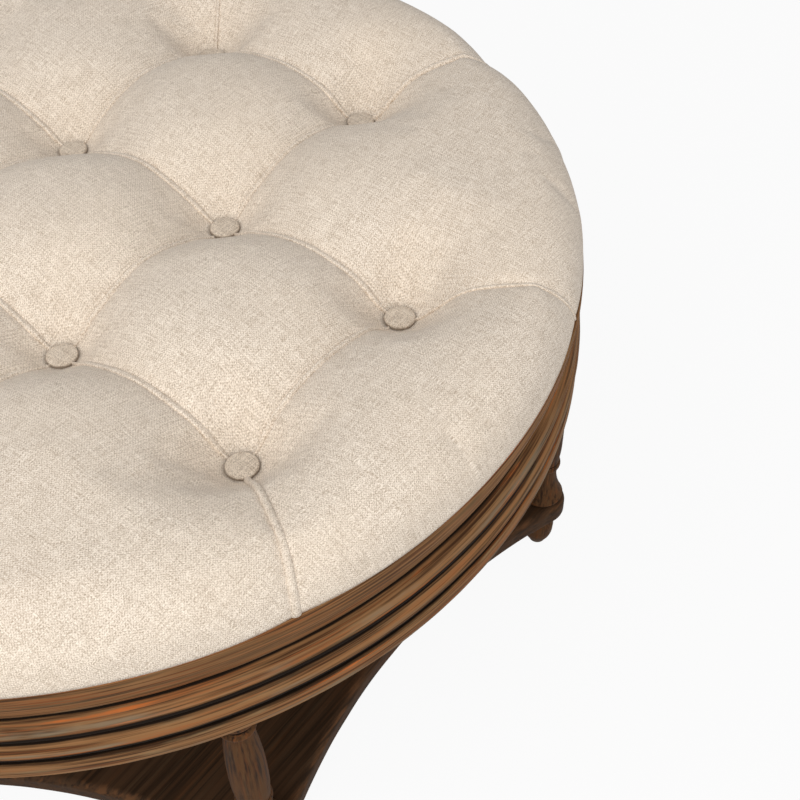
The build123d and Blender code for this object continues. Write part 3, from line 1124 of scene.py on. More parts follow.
        # Painted shade: a dark ring round each tuft.
        set_mask(mesh, "painted_shade",
                 self.painted_shade_share * np.exp(-((nearest - self.painted_shade_radius) / self.painted_shade_width) ** 2))
        set_weave_map(mesh, flat)
        mesh.update()

    def close(self, mesh: bpy.types.Mesh) -> None:
        """Closes the cloth underneath, down the rabbet and over the foam.

        Args:
            mesh: The creased cloth.
        """
        work = bmesh.new()
        work.from_mesh(mesh)
        rim: list[bpy.types.bpy_struct] = [edge for edge in work.edges if edge.is_boundary]
        for radius, level in ((self.sunk_radius, self.joint_level), (self.sunk_radius, self.sunk_level),
                              (0.0, self.sunk_level)):
            grown = bmesh.ops.extrude_edge_only(work, edges=rim)["geom"]
            corners = [part for part in grown if isinstance(part, bmesh.types.BMVert)]
            rim = [part for part in grown if isinstance(part, bmesh.types.BMEdge)]
            for corner in corners:
                across = corner.co.xy.normalized() * radius
                corner.co = (across.x, across.y, level)
        bmesh.ops.pointmerge(work, verts=corners, merge_co=corners[0].co)
        bmesh.ops.recalc_face_normals(work, faces=work.faces)
        for face in work.faces:
            face.smooth = True
        work.to_mesh(mesh)
        work.free()


class FoldKind(Enum):
    """How a pleat's fold lies: its section as shares of width and height."""

    FLAP = ((-0.5, -0.9), (-0.49, 0.2), (-0.45, 0.72), (-0.34, 0.96), (-0.18, 1.0), (0.02, 0.86), (0.22, 0.6),
            (0.38, 0.26), (0.48, -0.15), (0.5, -0.9))
    ROLL = ((-0.5, -0.9), (-0.44, 0.3), (-0.25, 0.82), (0.0, 1.0), (0.22, 0.85), (0.36, 0.45), (0.42, -0.1),
            (0.44, -0.9))


@dataclass
class PleatFolds:
    """The folded edges of cloth that lie in the pleats and run out over the rim."""

    cushion: TuftedCushion
    step: float = 2.5 * MM
    column_width: float = 9.0 * MM
    column_height: float = 5.2 * MM
    row_width: float = 6.0 * MM
    row_height: float = 3.8 * MM
    rim_width: float = 7.6 * MM
    rim_end_width: float = 10.0 * MM
    rim_height: float = 4.2 * MM
    flat_share: float = 0.6
    tuck: float = 2.0 * MM
    rim_gap: float = 0.5 * MM
    even_rounds: int = 6

    def sweep(self, tree: BVHTree, flat: Points, widths: Points, heights: Points, kind: FoldKind,
              side: int) -> tuple[Points, list[tuple[int, ...]], Points, Points]:
        """Lays one fold on the cushion.

        Args:
            tree: The cushion's surface.
            flat: The fold's flat places, in order.
            widths: The fold's width at each place.
            heights: The fold's height at each place.
            kind: Its section.
            side: 1, or -1 to turn the section round.

        Returns:
            The vertices, the faces, the flat place of every vertex and how low in the fold it lies, which
            sets the painted shade at the fold's feet.
        """
        lift = 30 * MM
        above = self.cushion.surface(flat, np.full(len(flat), -lift))
        below = self.cushion.surface(flat, np.full(len(flat), lift))
        centres, ups = [], []
        for high, low in zip(above, below):
            way = Vector(low - high).normalized()
            hit = tree.ray_cast(Vector(high), way)
            centres.append(np.array(hit[0] if hit[0] else high + (low - high) / 2))
            ups.append(-np.array(way))
        centres, ups = self.evened(np.array(centres)), np.array(ups)
        along = np.gradient(centres, axis=0)
        along /= np.linalg.norm(along, axis=1)[:, None]
        across = np.cross(along, ups)
        across /= np.linalg.norm(across, axis=1)[:, None]
        ups = np.cross(across, along)
        flat_way = np.gradient(flat, axis=0)
        flat_way /= np.linalg.norm(flat_way, axis=1)[:, None]
        flat_across = np.column_stack([flat_way[:, 1], -flat_way[:, 0]])
        shape = np.array(kind.value) * np.array([side, 1])
        if side < 0:
            shape = shape[::-1]
        rows, charts = [], []
        for offset, height in shape:
            rows.append(centres + across * (offset * widths)[:, None] + ups * (height * heights)[:, None])
            charts.append(flat + flat_across * (offset * widths)[:, None])
        vertices = np.stack(rows, axis=1).reshape(-1, 3)
        chart = np.stack(charts, axis=1).reshape(-1, 2)
        size = len(shape)
        faces: list[tuple[int, ...]] = []
        for index in range(len(flat) - 1):
            faces += bridge(index * size, (index + 1) * size, size)
        faces.append(tuple(range(size))[::-1])
        faces.append(tuple((len(flat) - 1) * size + place for place in range(size)))
        # Painted shade: darker towards the fold's feet, low in its section.
        painted_shade = np.tile(np.clip(0.5 - shape[:, 1], 0, 1), len(flat))
        return vertices, faces, chart, painted_shade

    def laid(self, start: Sequence[float], end: Sequence[float], before: float, after: float) -> Points:
        """Lays out a fold that stops short of its two ends.

        Args:
            start: The pleat's start.
            end: Its end.
            before: The gap at the start.
            after: The gap at the end.

        Returns:
            The fold's flat places.
        """
        a, b = np.array(start), np.array(end)
        way = (b - a) / np.linalg.norm(b - a)
        a, b = a + way * before, b - way * after
        count = max(2, round(np.linalg.norm(b - a) / self.step))
        return a + np.linspace(0, 1, count)[:, None] * (b - a)

    def evened(self, line: Points) -> Points:
        """Smooths the small jogs out of a line of places and keeps its ends.

        Args:
            line: The places, which are changed.

        Returns:
            The same places.
        """
        for _ in range(self.even_rounds):
            line[1:-1] = (line[:-2] + 2 * line[1:-1] + line[2:]) / 4
        return line

    def taper(self, count: int, blunt: float = 0.12) -> Points:
        """Returns a share for each place that narrows towards both ends."""
        share = np.linspace(0, 1, count)
        return np.clip(np.minimum(share, 1 - share) / blunt, 0.25, 1) ** 0.5

    def build(self, cushion: bpy.types.Object, material: bpy.types.Material) -> bpy.types.Object:
        """Builds and dresses all the folds.

        Args:
            cushion: The finished cushion.
            material: The linen.

        Returns:
            The finished piece.
        """
        tree = BVHTree.FromPolygons([v.co for v in cushion.data.vertices],
                                    [tuple(p.vertices) for p in cushion.data.polygons])
        inset = self.cushion.floor_radius - self.tuck
        parts = []
        lattice = self.cushion.lattice
        for pleats, width, height in ((lattice.columns, self.column_width, self.column_height),
                                      (lattice.rows, self.row_width, self.row_height)):
            for start, end in pleats:
                flat = self.laid(start, end, inset, inset)
                share = self.taper(len(flat))
                parts.append(self.sweep(tree, flat, width * share, height * share, FoldKind.FLAP, 1))
        total = self.cushion.section()[-1, 0]
        for index, (start, angle) in enumerate(lattice.rims):
            flat = self.laid(start, self.cushion.rim_end(start, angle, total - self.rim_gap), inset, 0.0)
            share = np.linspace(0, 1, len(flat))
            widths = self.rim_width + (self.rim_end_width - self.rim_width) * share ** 2
            heights = self.rim_height * np.interp(share, [0, 0.1, 0.6, 1], [0.8, 1, 0.9, 0.7])
            kind, side, size = (FoldKind.FLAP, -1, self.flat_share) if index % 2 else (FoldKind.ROLL, 1, 1.0)
            parts.append(self.sweep(tree, flat, widths * size, heights * size, kind, side))
        places, cells, charts, painted_shades = zip(*parts)
        starts = [sum(map(len, places[:index])) for index in range(len(places))]
        faces = [tuple(start + corner for corner in cell) for start, block in zip(starts, cells)
                 for cell in block]
        mesh = make_mesh("pleat_folds", np.vstack(places), faces)
        set_mask(mesh, "painted_shade", np.concatenate(painted_shades))
        set_weave_map(mesh, np.vstack(charts))
        return finish_piece(add_object("pleat_folds", mesh), material, [])


def turning_recipe() -> Recipe:
    """Makes the tree that turns an outline on its axis and sets it out on places.

    Returns:
        The tree, ready to run.
    """
    recipe = Recipe("turning", {"Places": "NodeSocketObject", "Sides": "NodeSocketInt",
                                "Tilt": "NodeSocketFloat", "Seed": "NodeSocketInt"})
    axis = recipe.node("GeometryNodeMeshToCurve", {}, {"Mesh": recipe.given("Geometry")})
    radius = recipe.node("GeometryNodeInputNamedAttribute", {"data_type": "FLOAT"}, {"Name": "turn_radius"})
    round_section = recipe.node("GeometryNodeCurvePrimitiveCircle", {},
                                {"Resolution": recipe.given("Sides"), "Radius": 1.0})
    turned = recipe.node("GeometryNodeCurveToMesh", {}, {"Curve": axis, "Profile Curve": round_section,
                                                         "Scale": radius, "Fill Caps": True})
    places = recipe.node("GeometryNodeObjectInfo", {}, {"Object": recipe.given("Places")}, "Geometry")
    points = recipe.node("GeometryNodeMeshToPoints", {}, {"Mesh": places})
    tilt = recipe.given("Tilt")
    low = recipe.node("ShaderNodeCombineXYZ", {}, {0: tilt * -1.0, 1: tilt * -1.0, 2: -math.pi})
    high = recipe.node("ShaderNodeCombineXYZ", {}, {0: tilt, 1: tilt, 2: math.pi})
    lean = recipe.node("FunctionNodeRandomValue", {"data_type": "FLOAT_VECTOR"},
                       {0: low, 1: high, "Seed": recipe.given("Seed")})
    recipe.serve(recipe.node("GeometryNodeInstanceOnPoints", {},
                             {"Points": points, "Instance": turned, "Rotation": lean}))
    return recipe


@dataclass
class TurnedSet:
    """Equal turned pieces set out on places, such as the legs."""

    name: str
    outline: Outline
    places: list[tuple[float, float, float]]
    slot: str
    replaced: list[str]
    sides: int = 56
    tilt: float = 0.0
    seed: int = 4
    shaded_from_run: Optional[float] = None

    def build(self, recipe: Recipe, material: bpy.types.Material) -> bpy.types.Object:
        """Turns the outline and sets it out.

        Args:
            recipe: The turning tree.
            material: The finish.

        Returns:
            The finished piece.
        """
        table = self.outline.table()
        masks = WearAndShadeMasks.of(table[::-1])
        levels = table[:, 1] + np.arange(len(table)) * 1e-7
        axis = np.column_stack([np.zeros(len(table)), np.zeros(len(table)), levels])
        mesh = make_mesh(self.name, axis, [], [(index, index + 1) for index in range(len(table) - 1)])
        set_mask(mesh, "turn_radius", table[:, 0])
        masks.store(mesh, order=-1)
        # Painted shade: the button darkens down its side past the given run, where it meets the cloth.
        if self.shaded_from_run:
            set_mask(mesh, "painted_shade", np.clip(masks.run[::-1] / MM - self.shaded_from_run / MM, 0, 2) / 2)
        source = add_object(self.name + "_axis", mesh)
        spots = add_object(self.name + "_places", make_mesh(self.name + "_places", np.array(self.places), []))
        piece = recipe.run(self.name, source, {"Places": spots, "Sides": self.sides, "Tilt": self.tilt,
                                               "Seed": self.seed, "Finish": material})
        bpy.data.objects.remove(spots)
        return finish_piece(piece, None, self.replaced)


@dataclass
class ApronRing:
    """The moulded ring in six segments: upper band, torus, bead, cove and lip, rubbed and dented."""

    lip_radius: float
    inner_radius: float
    rabbet_radius: float
    top: float
    ledge: float
    bottom: float
    count: int = LEG_COUNT
    steps: int = 72
    band: float = 46.5 * MM
    torus: float = 21.5 * MM
    bead: float = 22.5 * MM
    cove: float = 4.0 * MM
    band_inset: float = 2.6 * MM
    first_inset: float = 12.0 * MM
    second_inset: float = 4.7 * MM
    third_inset: float = 3.3 * MM
    cove_inset: float = 9.0 * MM
    torus_belly: float = 7.6 * MM
    bead_belly: float = 4.8 * MM
    band_belly: float = 2.0 * MM
    groove: float = 1.2 * MM
    groove_depth: float = 2.6 * MM
    arris: float = 0.8 * MM
    lip_round: float = 3.4 * MM
    foot_round: float = 1.6 * MM
    dented_reach: float = 16 * MM
    dent: float = 0.30 * MM
    plain_dents: float = 0.35
    worn_dents: float = 0.9
    stain_and_shade_edge: float = 0.45 * MM

    def outline(self) -> Outline:
        """Draws the visible section from the top down, then back up inside.

        Returns:
            The outline.
        """
        lip, half = self.lip_radius, self.groove
        first, second, third = self.grooves()
        lip_top = third[1] - self.cove
        line = Outline(self.start_inside(), 0.8 * MM)
        line.points.append((lip - self.band_inset - self.arris, self.top))
        line.arc((lip - self.band_inset, self.top - self.arris), 0.3 * MM)
        line.arc((lip - self.band_inset - 3.2 * MM, self.top - self.band * 0.55), self.band_belly * 0.7)
        line.arc((first[0] - 1.5 * MM, first[1] + 1.6 * MM), self.band_belly * 0.2)
        line.line((first[0] - 2.9 * MM, first[1] + 0.8 * MM), (first[0] - 1.0 * MM, first[1] - 0.1 * MM))
        line.arc((second[0], second[1] + half), self.torus_belly)
        line.line((second[0] - self.groove_depth, second[1]), (second[0], second[1] - half))
        line.arc(third, self.bead_belly)
        line.line((lip - self.cove_inset, third[1] - half), (lip - self.cove_inset, lip_top),
                  (lip - self.lip_round, lip_top))
        line.arc((lip, lip_top - self.lip_round), 1.2 * MM)
        line.line((lip, self.bottom + self.foot_round))
        line.arc((lip - self.foot_round, self.bottom), 0.4 * MM)
        line.step = 6 * MM
        line.line((self.inner_radius + 1 * MM, self.bottom), (self.inner_radius, self.bottom + 1 * MM),
                  (self.inner_radius, self.ledge), (self.rabbet_radius, self.ledge), self.start_inside())
        line.points.pop()
        return line

    def start_inside(self) -> tuple[float, float]:
        """Returns the corner of the rabbet at the top."""
        return (self.rabbet_radius, self.top)

    def grooves(self) -> tuple[tuple[float, float], tuple[float, float], tuple[float, float]]:
        """Places the three grooves.

        Returns:
            Each groove's radius and level, from the top down.
        """
        first = (self.lip_radius - self.first_inset, self.top - self.band)
        second = (self.lip_radius - self.second_inset, first[1] - self.torus)
        return first, second, (self.lip_radius - self.third_inset, second[1] - self.bead)

    def stain_and_shade(self, table: Points, run: Points, stretches: Sequence[Sequence[float]]) -> Points:
        """Returns a soft mask over stretches of the outline.

        Args:
            table: The outline.
            run: How far along it each point lies.
            stretches: For each one, its two ends' radius past the lip and level under the top, in
                millimetres, and its strength.

        Returns:
            The mask, one value for each point.
        """
        mask = np.zeros(len(table))
        for *ends, strength in stretches:
            places = np.array(ends).reshape(2, 2) * MM + (self.lip_radius, self.top)
            low, high = (run[np.argmin(np.hypot(*(table - place).T))] for place in places)
            rise = 1 / (1 + np.exp((low - run) / self.stain_and_shade_edge))
            fall = 1 / (1 + np.exp((run - high) / self.stain_and_shade_edge))
            mask = np.maximum(mask, strength * rise * fall)
        return mask

    def masks(self, table: Points) -> WearAndShadeMasks:
        """Works out the masks: painted shade and dirt in the grooves, painted shade on the upper band under
        the cushion, grey wash low on each moulding, bare high places.

        Args:
            table: The outline.

        Returns:
            The masks.
        """
        masks = WearAndShadeMasks.of(table)
        # The hollow mask here is painted shade: a light darkening down the upper band under the cushion's
        # overhang, and dark strips with dirt along the three grooves.
        masks.hollow = self.stain_and_shade(table, masks.run, [
            (-2.6, -1.0, -5.5, -26.0, 0.28),
            (-12.9, -43.0, -12.0, -47.3, 0.62), (-12.6, -42.2, -11.5, -47.9, 0.38),
            (-1.3, -56.4, -3.9, -69.9, 0.66), (-1.8, -54.8, -3.0, -71.2, 0.40),
            (0.8, -81.6, -2.4, -94.9, 0.64), (0.9, -79.8, -1.5, -96.2, 0.40)])
        masks.under = self.stain_and_shade(table, masks.run, [
            (-12.2, -37.5, -13.6, -44.6, 0.42), (-3.6, -50.8, -1.4, -55.2, 0.42),
            (0.2, -76.4, 0.7, -80.2, 0.42), (0.0, -105.5, 0.0, -110.0, 0.42)])
        bare = self.stain_and_shade(table, masks.run, [(-11.0, -48.0, -9.0, -49.0, 0.60)])
        masks.ridge = np.maximum(bare, masks.ridge * (table[:, 1] < self.top - 4 * MM) * 0.6)
        return masks

    def build(self, material: bpy.types.Material) -> list[bpy.types.Object]:
        """Builds and dresses the six segments.

        Args:
            material: The worn wood.

        Returns:
            The finished pieces.
        """
        table = self.outline().table()
        masks = self.masks(table)
        steps = np.diff(table, axis=0, append=table[:1])
        normal = np.column_stack([-steps[:, 1], steps[:, 0]])
        normal /= np.maximum(np.hypot(normal[:, 0], normal[:, 1]), 1e-9)[:, None]
        outer = (table[:, 0] > self.lip_radius - self.dented_reach) & (table[:, 1] < self.top - 0.1 * MM)
        pieces = []
        for number in range(self.count):
            middle = 2 * math.pi * number / self.count
            angles = middle + np.linspace(-math.pi / self.count, math.pi / self.count, self.steps + 1)
            rings = []
            for angle in angles:
                way = np.array([math.cos(angle), math.sin(angle)])
                dents = np.array([
                    (ripple((way[0] * 5, way[1] * 5, run * 60), 1.0, 3.3)
                     + 0.8 * ripple((way[0] * 24, way[1] * 24, run * 200), 1.0, 7.9)) for run in masks.run])
                share = self.plain_dents + self.worn_dents * masks.ridge + self.worn_dents * masks.hollow
                push = self.dent * dents * outer * share
                moved = table + normal * push[:, None]
                rings.append(np.column_stack([moved[:, 0] * way[0], moved[:, 0] * way[1], moved[:, 1]]))
            size = len(table)
            faces: list[tuple[int, ...]] = []
            for ring in range(self.steps):
                faces += bridge((ring + 1) * size, ring * size, size)
            faces.append(tuple(range(size)))
            faces.append(tuple(self.steps * size + index for index in range(size))[::-1])
            mesh = make_mesh(f"apron_{number + 1}", np.vstack(rings), faces)
            masks.store(mesh, self.steps + 1)
            mesh.set_sharp_from_angle(angle=math.radians(55))
            piece = add_object(f"moulded_apron_{number + 1}", mesh)
            pieces.append(finish_piece(piece, material, [f"apron_segment_{number + 1}"]))
        return pieces


@dataclass
class LowerShelf:
    """The shelf with hollow sides, a pad under each leg and a rounded edge."""

    leg_circle: float
    bottom: float
    top: float
    count: int = LEG_COUNT
    pad_radius: float = 25.5 * MM
    hollow: float = 42.7 * MM
    top_round: float = 7.0 * MM
    bottom_round: float = 4.0 * MM
    land: float = 6.0 * MM
    uneven: float = 0.35 * MM
    hollow_steps: int = 70
    pad_steps: int = 20

    def plan(self) -> tuple[Points, Points]:
        """Draws the plan: a round pad under each leg and a hollow arc between the pads.

        Returns:
            The outline's points and their outward normals.
        """
        half = math.pi / self.count
        middle = self.leg_circle * math.cos(half)
        chord = self.leg_circle * math.sin(half)
        offset = self.hollow - self.pad_radius
        bend = (offset ** 2 + chord ** 2 - self.pad_radius ** 2) / (2 * self.hollow)
        centre = middle + self.pad_radius - self.hollow + bend
        swing = math.atan2(chord, centre - middle)
        points, normals = [], []
        for number in range(self.count):
            angle = 2 * half * number
            pad = np.array([math.cos(angle), math.sin(angle)]) * self.leg_circle
            for turn in np.linspace(-half - swing, half + swing, self.pad_steps):
                way = np.array([math.cos(angle + turn), math.sin(angle + turn)])
                points.append(pad + way * self.pad_radius)
                normals.append(way)
            side = angle + half
            hub = np.array([math.cos(side), math.sin(side)]) * centre
            for turn in np.linspace(swing, -swing, self.hollow_steps)[1:-1]:
                way = -np.array([math.cos(side + turn), math.sin(side + turn)])
                points.append(hub + way * bend)
                normals.append(-way)
        return np.array(points), np.array(normals)

    def build(self, material: bpy.types.Material) -> bpy.types.Object:
        """Builds and dresses the shelf.

        Args:
            material: The worn wood.

        Returns:
            The finished piece.
        """
        edge = Outline((-self.top_round - self.land, self.top), 0.9 * MM)
        edge.line((-self.top_round, self.top))
        edge.arc((0.0, self.top - self.top_round), self.top_round * ROUND_SWELL)
        edge.line((0.0, self.bottom + self.bottom_round))
        edge.arc((-self.bottom_round, self.bottom), self.bottom_round * ROUND_SWELL)
        edge.line((-self.bottom_round - self.land, self.bottom))
        table = edge.table()
        masks = WearAndShadeMasks.of(table, 2.2 * MM)
        points, normals = self.plan()
        size, around = len(table), len(points)
        vertices = []
        for point, normal in zip(points, normals):
            uneven = self.uneven * ripple((point[0], point[1], 0.0), 30.0, 2.2)
            for reach, level in table:
                spot = point + normal * (reach + uneven * masks.ridge.max())
                vertices.append((spot[0], spot[1], level))
        faces: list[tuple[int, ...]] = []
        for index in range(around):
            faces += bridge(index * size, (index + 1) % around * size, size, closed=False)
        faces.append(tuple(index * size for index in range(around)))
        faces.append(tuple(index * size + size - 1 for index in range(around))[::-1])
        mesh = make_mesh("lower_shelf", np.array(vertices), faces)
        masks.store(mesh, around)
        mesh.set_sharp_from_angle(angle=SHARP_TURN)
        return finish_piece(add_object("hollow_sided_shelf", mesh), material, ["lower_shelf"])


@dataclass
class FoamPad:
    """The firm foam under the cushion, pierced for the tufting twines."""

    radius: float
    bottom: float
    top: float
    places: list[tuple[float, float]]
    hole_radius: float = 1.4 * MM
    soften: float = 2.0 * MM
    sides: int = 160
    hole_sides: int = 12

    def ring(self, centre: Sequence[float], radius: float, level: float, sides: int) -> Points:
        """Returns a level circle of points."""
        turns = np.linspace(0, 2 * math.pi, sides, endpoint=False)
        return np.column_stack([centre[0] + radius * np.cos(turns), centre[1] + radius * np.sin(turns),
                                np.full(sides, level)])

    def build(self, material: bpy.types.Material) -> bpy.types.Object:
        """Builds and dresses the pad.

        Args:
            material: The foam.

        Returns:
            The finished piece.
        """
        soft, blunt = self.soften, 0.3 * self.soften
        steps = [(self.radius - soft, self.top), (self.radius - blunt, self.top - blunt),
                 (self.radius, self.top - soft), (self.radius, self.bottom + soft),
                 (self.radius - blunt, self.bottom + blunt), (self.radius - soft, self.bottom)]
        walls = [[self.ring((0.0, 0.0), radius, level, self.sides) for radius, level in steps]]
        walls += [[self.ring(place, self.hole_radius, level, self.hole_sides)
                   for level in (self.top, self.bottom)] for place in self.places]
        vertices = np.vstack([ring for wall in walls for ring in wall])
        faces: list[tuple[int, ...]] = []
        ends: tuple[list[int], list[int]] = ([], [])
        base = 0
        for wall in walls:
            size = len(wall[0])
            for step in range(len(wall) - 1):
                faces += bridge(base + step * size, base + (step + 1) * size, size)
            ends[0].extend(range(base, base + size))
            base += len(wall) * size
            ends[1].extend(range(base - size, base))
        for end, side in zip(ends, (0, -1)):
            loops = [[Vector(point) for point in wall[side]] for wall in walls]
            faces += [tuple(end[corner] for corner in triangle)
                      for triangle in geometry.tessellate_polygon(loops)]
        mesh = make_mesh("foam", vertices, faces)
        turn_faces_out(mesh)
        mesh.set_sharp_from_angle(angle=math.radians(40))
        piece = finish_piece(add_object("pierced_foam", mesh), material, ["foam_pad"])
        return piece


@dataclass
class DustCloth:
    """The dark cloth stretched under the rails, sagging a little in the middle."""

    radius: float
    bottom: float
    top: float
    sag: float = 1.8 * MM
    uneven: float = 0.25 * MM
    rings: int = 22
    sides: int = 120

    def build(self, material: bpy.types.Material) -> bpy.types.Object:
        """Builds and dresses the cloth.

        Args:
            material: The cloth.

        Returns:
            The finished piece.
        """
        shares = np.linspace(0, 1, self.rings + 1)[1:]
        under = [(share * self.radius, self.bottom - self.sag * (1 - share ** 2)) for share in shares]
        over = [(share * self.radius, self.top - self.sag * (1 - share ** 2)) for share in shares[::-1]]
        table = under + over
        turns = np.linspace(0, 2 * math.pi, self.sides, endpoint=False)
        vertices = []
        for radius, level in table:
            for turn in turns:
                x, y = radius * math.cos(turn), radius * math.sin(turn)
                vertices.append((x, y, level + self.uneven * ripple((x, y, 0.0), 11.0, 4.4)))
        faces: list[tuple[int, ...]] = []
        for step in range(len(table) - 1):
            faces += bridge(step * self.sides, (step + 1) * self.sides, self.sides)
        poles = (len(vertices), len(vertices) + 1)
        vertices += [(0.0, 0.0, self.bottom - self.sag), (0.0, 0.0, self.top - self.sag)]
        last = (len(table) - 1) * self.sides
        for place in range(self.sides):
            after = (place + 1) % self.sides
            faces += [(place, after, poles[0]), (last + place, last + after, poles[1])]
        mesh = make_mesh("dust_cloth", np.array(vertices), faces)
        turn_faces_out(mesh)
        piece = finish_piece(add_object("stretched_dust_cloth", mesh), material, ["dust_cover"])
        2 * self.radius
        2 * self.radius
        math.pi * self.radius ** 2
        return piece


@dataclass
class Studio:
    """A pale floor, soft lamps and the camera."""

    centre_level: float
    focal_length: float = 57.6
    sensor: float = 36.0
    distance: float = 971.6 * MM
    height: float = 780.9 * MM
    yaw: float = 18.42
    pitch: float = 47.83
    roll: float = -1.75
    turn: float = -33.2
    floor_reach: float = 30.0
    floor_white: float = 0.93
    ambient: float = 0.43

    def camera(self) -> bpy.types.Object:
        """Places the camera.

        Returns:
            The camera.
        """
        yaw, pitch, roll = (math.radians(value) for value in (self.yaw, self.pitch, self.roll))
        look = Vector((math.sin(yaw) * math.cos(pitch), math.cos(yaw) * math.cos(pitch), -math.sin(pitch)))
        right = Vector((math.cos(yaw), -math.sin(yaw), 0.0))
        up = right.cross(look)
        tilt, lean = math.cos(roll), math.sin(roll)
        right, up = tilt * right + lean * up, tilt * up - lean * right
        spin = Matrix.Rotation(math.radians(self.turn), 4, "Z")
        frame = Matrix((right, up, -look)).transposed().to_4x4()
        data = bpy.data.cameras.new("camera")
        data.lens, data.sensor_width, data.sensor_fit = self.focal_length, self.sensor, "HORIZONTAL"
        made = add_object("camera", data)
        stand = Matrix.Translation((0.0, -self.distance, self.centre_level + self.height))
        made.matrix_world = spin @ stand @ frame
        bpy.context.scene.camera = made
        return made

    def lamp(self, name: str, azimuth: float, elevation: float, reach: float, size: float, power: float,
             colour: tuple[float, float, float]) -> None:
        """Adds one soft square lamp that faces the table.

        Args:
            name: Its name.
            azimuth: Its direction in plan, in degrees.
            elevation: Its direction above the floor, in degrees.
            reach: How far off it is.
            size: Its side.
            power: Its power, in watts.
            colour: Its colour.
        """
        data = bpy.data.lights.new(name, "AREA")
        data.size, data.energy, data.color = size, power, colour
        made = add_object(name, data)
        a, e = math.radians(azimuth), math.radians(elevation)
        spot = Vector((math.cos(a) * math.cos(e), math.sin(a) * math.cos(e), math.sin(e))) * reach
        made.location = spot
        made.rotation_euler = (Vector((0, 0, self.centre_level)) - spot).to_track_quat("-Z", "Y").to_euler()

    def floor(self) -> None:
        """Lays the floor: white to the eye, pale to the light, with the table's shadow on it."""
        shader = Shader("studio_floor")
        diffuse = shader.node("ShaderNodeBsdfDiffuse", {}, {"Color": shade(208, 208, 208)})
        white = shader.node("ShaderNodeEmission", {}, {"Color": (1.0, 1.0, 1.0, 1.0), "Strength": 1.0})
        seen = shader.seen_by("Camera", "Glossy", "Transmission") * self.floor_white
        mixed = shader.node("ShaderNodeMixShader", {}, {0: seen, 1: diffuse, 2: white})
        shader.node("ShaderNodeOutputMaterial", {}, {0: mixed})
        corners = np.array([(-1, -1, 0), (1, -1, 0), (1, 1, 0), (-1, 1, 0)]) * self.floor_reach
        mesh = make_mesh("floor", corners, [(0, 1, 2, 3)])
        mesh.materials.append(shader.material)
        add_object("studio_floor", mesh)

    def world(self) -> None:
        """Lights everything evenly and shows white behind the table."""
        world = bpy.data.worlds.new("studio_world")
        bpy.context.scene.world = world
        world.use_nodes = True
        nodes = Nodes(world.node_tree)
        seen = nodes.seen_by("Camera", "Transmission")
        ambient = nodes.node("ShaderNodeBackground", {}, {"Color": (0.95, 0.97, 1.0, 1.0),
                                                          "Strength": self.ambient})
        white = nodes.node("ShaderNodeBackground", {}, {"Color": (1.0, 1.0, 1.0, 1.0), "Strength": 1.0})
        mixed = nodes.node("ShaderNodeMixShader", {}, {0: seen, 1: ambient, 2: white})
        nodes.node("ShaderNodeOutputWorld", {}, {0: mixed})

    def build(self) -> None:
        """Sets up the whole studio."""
        self.world()
        self.floor()
        self.lamp("key_lamp", azimuth=-165.0, elevation=52.0, reach=3.0, size=2.6, power=55.0,
                  colour=(1.0, 0.965, 0.92))
        self.lamp("front_lamp", azimuth=-95.0, elevation=30.0, reach=3.2, size=2.4, power=24.0,
                  colour=(1.0, 0.97, 0.93))
        self.camera()
        bpy.context.scene.view_settings.view_transform = "Standard"


def leg_outline(shelf_top: float, apron_bottom: float) -> Outline:
    """Draws a leg from the shelf up: bell, neck, ring, swelling, throat, bead and collar.

    Args:
        shelf_top: The level that it stands on.
        apron_bottom: The level that it carries.

    Returns:
        The outline.
    """
    up, down = shelf_top, apron_bottom
    neck, ring, throat, collar = 13.8 * MM, 15.4 * MM, 12.4 * MM, 19.0 * MM
    line = Outline((18.4 * MM, up), 1.3 * MM)
    line.arc((22.6 * MM, up + 6 * MM), 0.9 * MM)
    line.arc((neck, up + 38 * MM), -1.6 * MM)
    line.line((neck, up + 49.6 * MM))
    line.arc((14.6 * MM, up + 60.4 * MM), 2.7 * MM)
    line.line((ring, up + 61.2 * MM), (ring, up + 66 * MM))
    line.arc((16.8 * MM, up + 88 * MM), 0.4 * MM)
    line.arc((throat, down - 32.5 * MM), 1.6 * MM)
    line.line((throat, down - 29.5 * MM))
    line.arc((throat, down - 19.5 * MM), 4.0 * MM)
    line.line((throat, down - 14.5 * MM))
    line.arc((18.0 * MM, down - 8.2 * MM), -1.4 * MM)
    line.arc((collar, down - 7.2 * MM), 0.3 * MM)
    line.line((collar, down - 0.05 * MM))
    return line


def foot_outline(foot_top: float, glide_top: float) -> Outline:
    """Draws a bun foot from the glide up: tread, bun, neck and collar.

    Args:
        foot_top: The level of the shelf's underside.
        glide_top: The level that it stands on.

    Returns:
        The outline.
    """
    belly = glide_top + (foot_top - glide_top) * 0.42
    neck, widest = 12.6 * MM, 16.2 * MM
    line = Outline((10.0 * MM, glide_top), 1.0 * MM)
    line.arc((10.6 * MM, glide_top + 1.0 * MM), 0.2 * MM)
    line.arc((widest, belly), 1.6 * MM)
    line.arc((neck, foot_top - 13 * MM), 1.6 * MM)
    line.arc((neck, foot_top - 8.6 * MM), -0.8 * MM)
    line.line((15.6 * MM, foot_top - 8.0 * MM), (widest, foot_top - 7.4 * MM), (widest, foot_top))
    return line


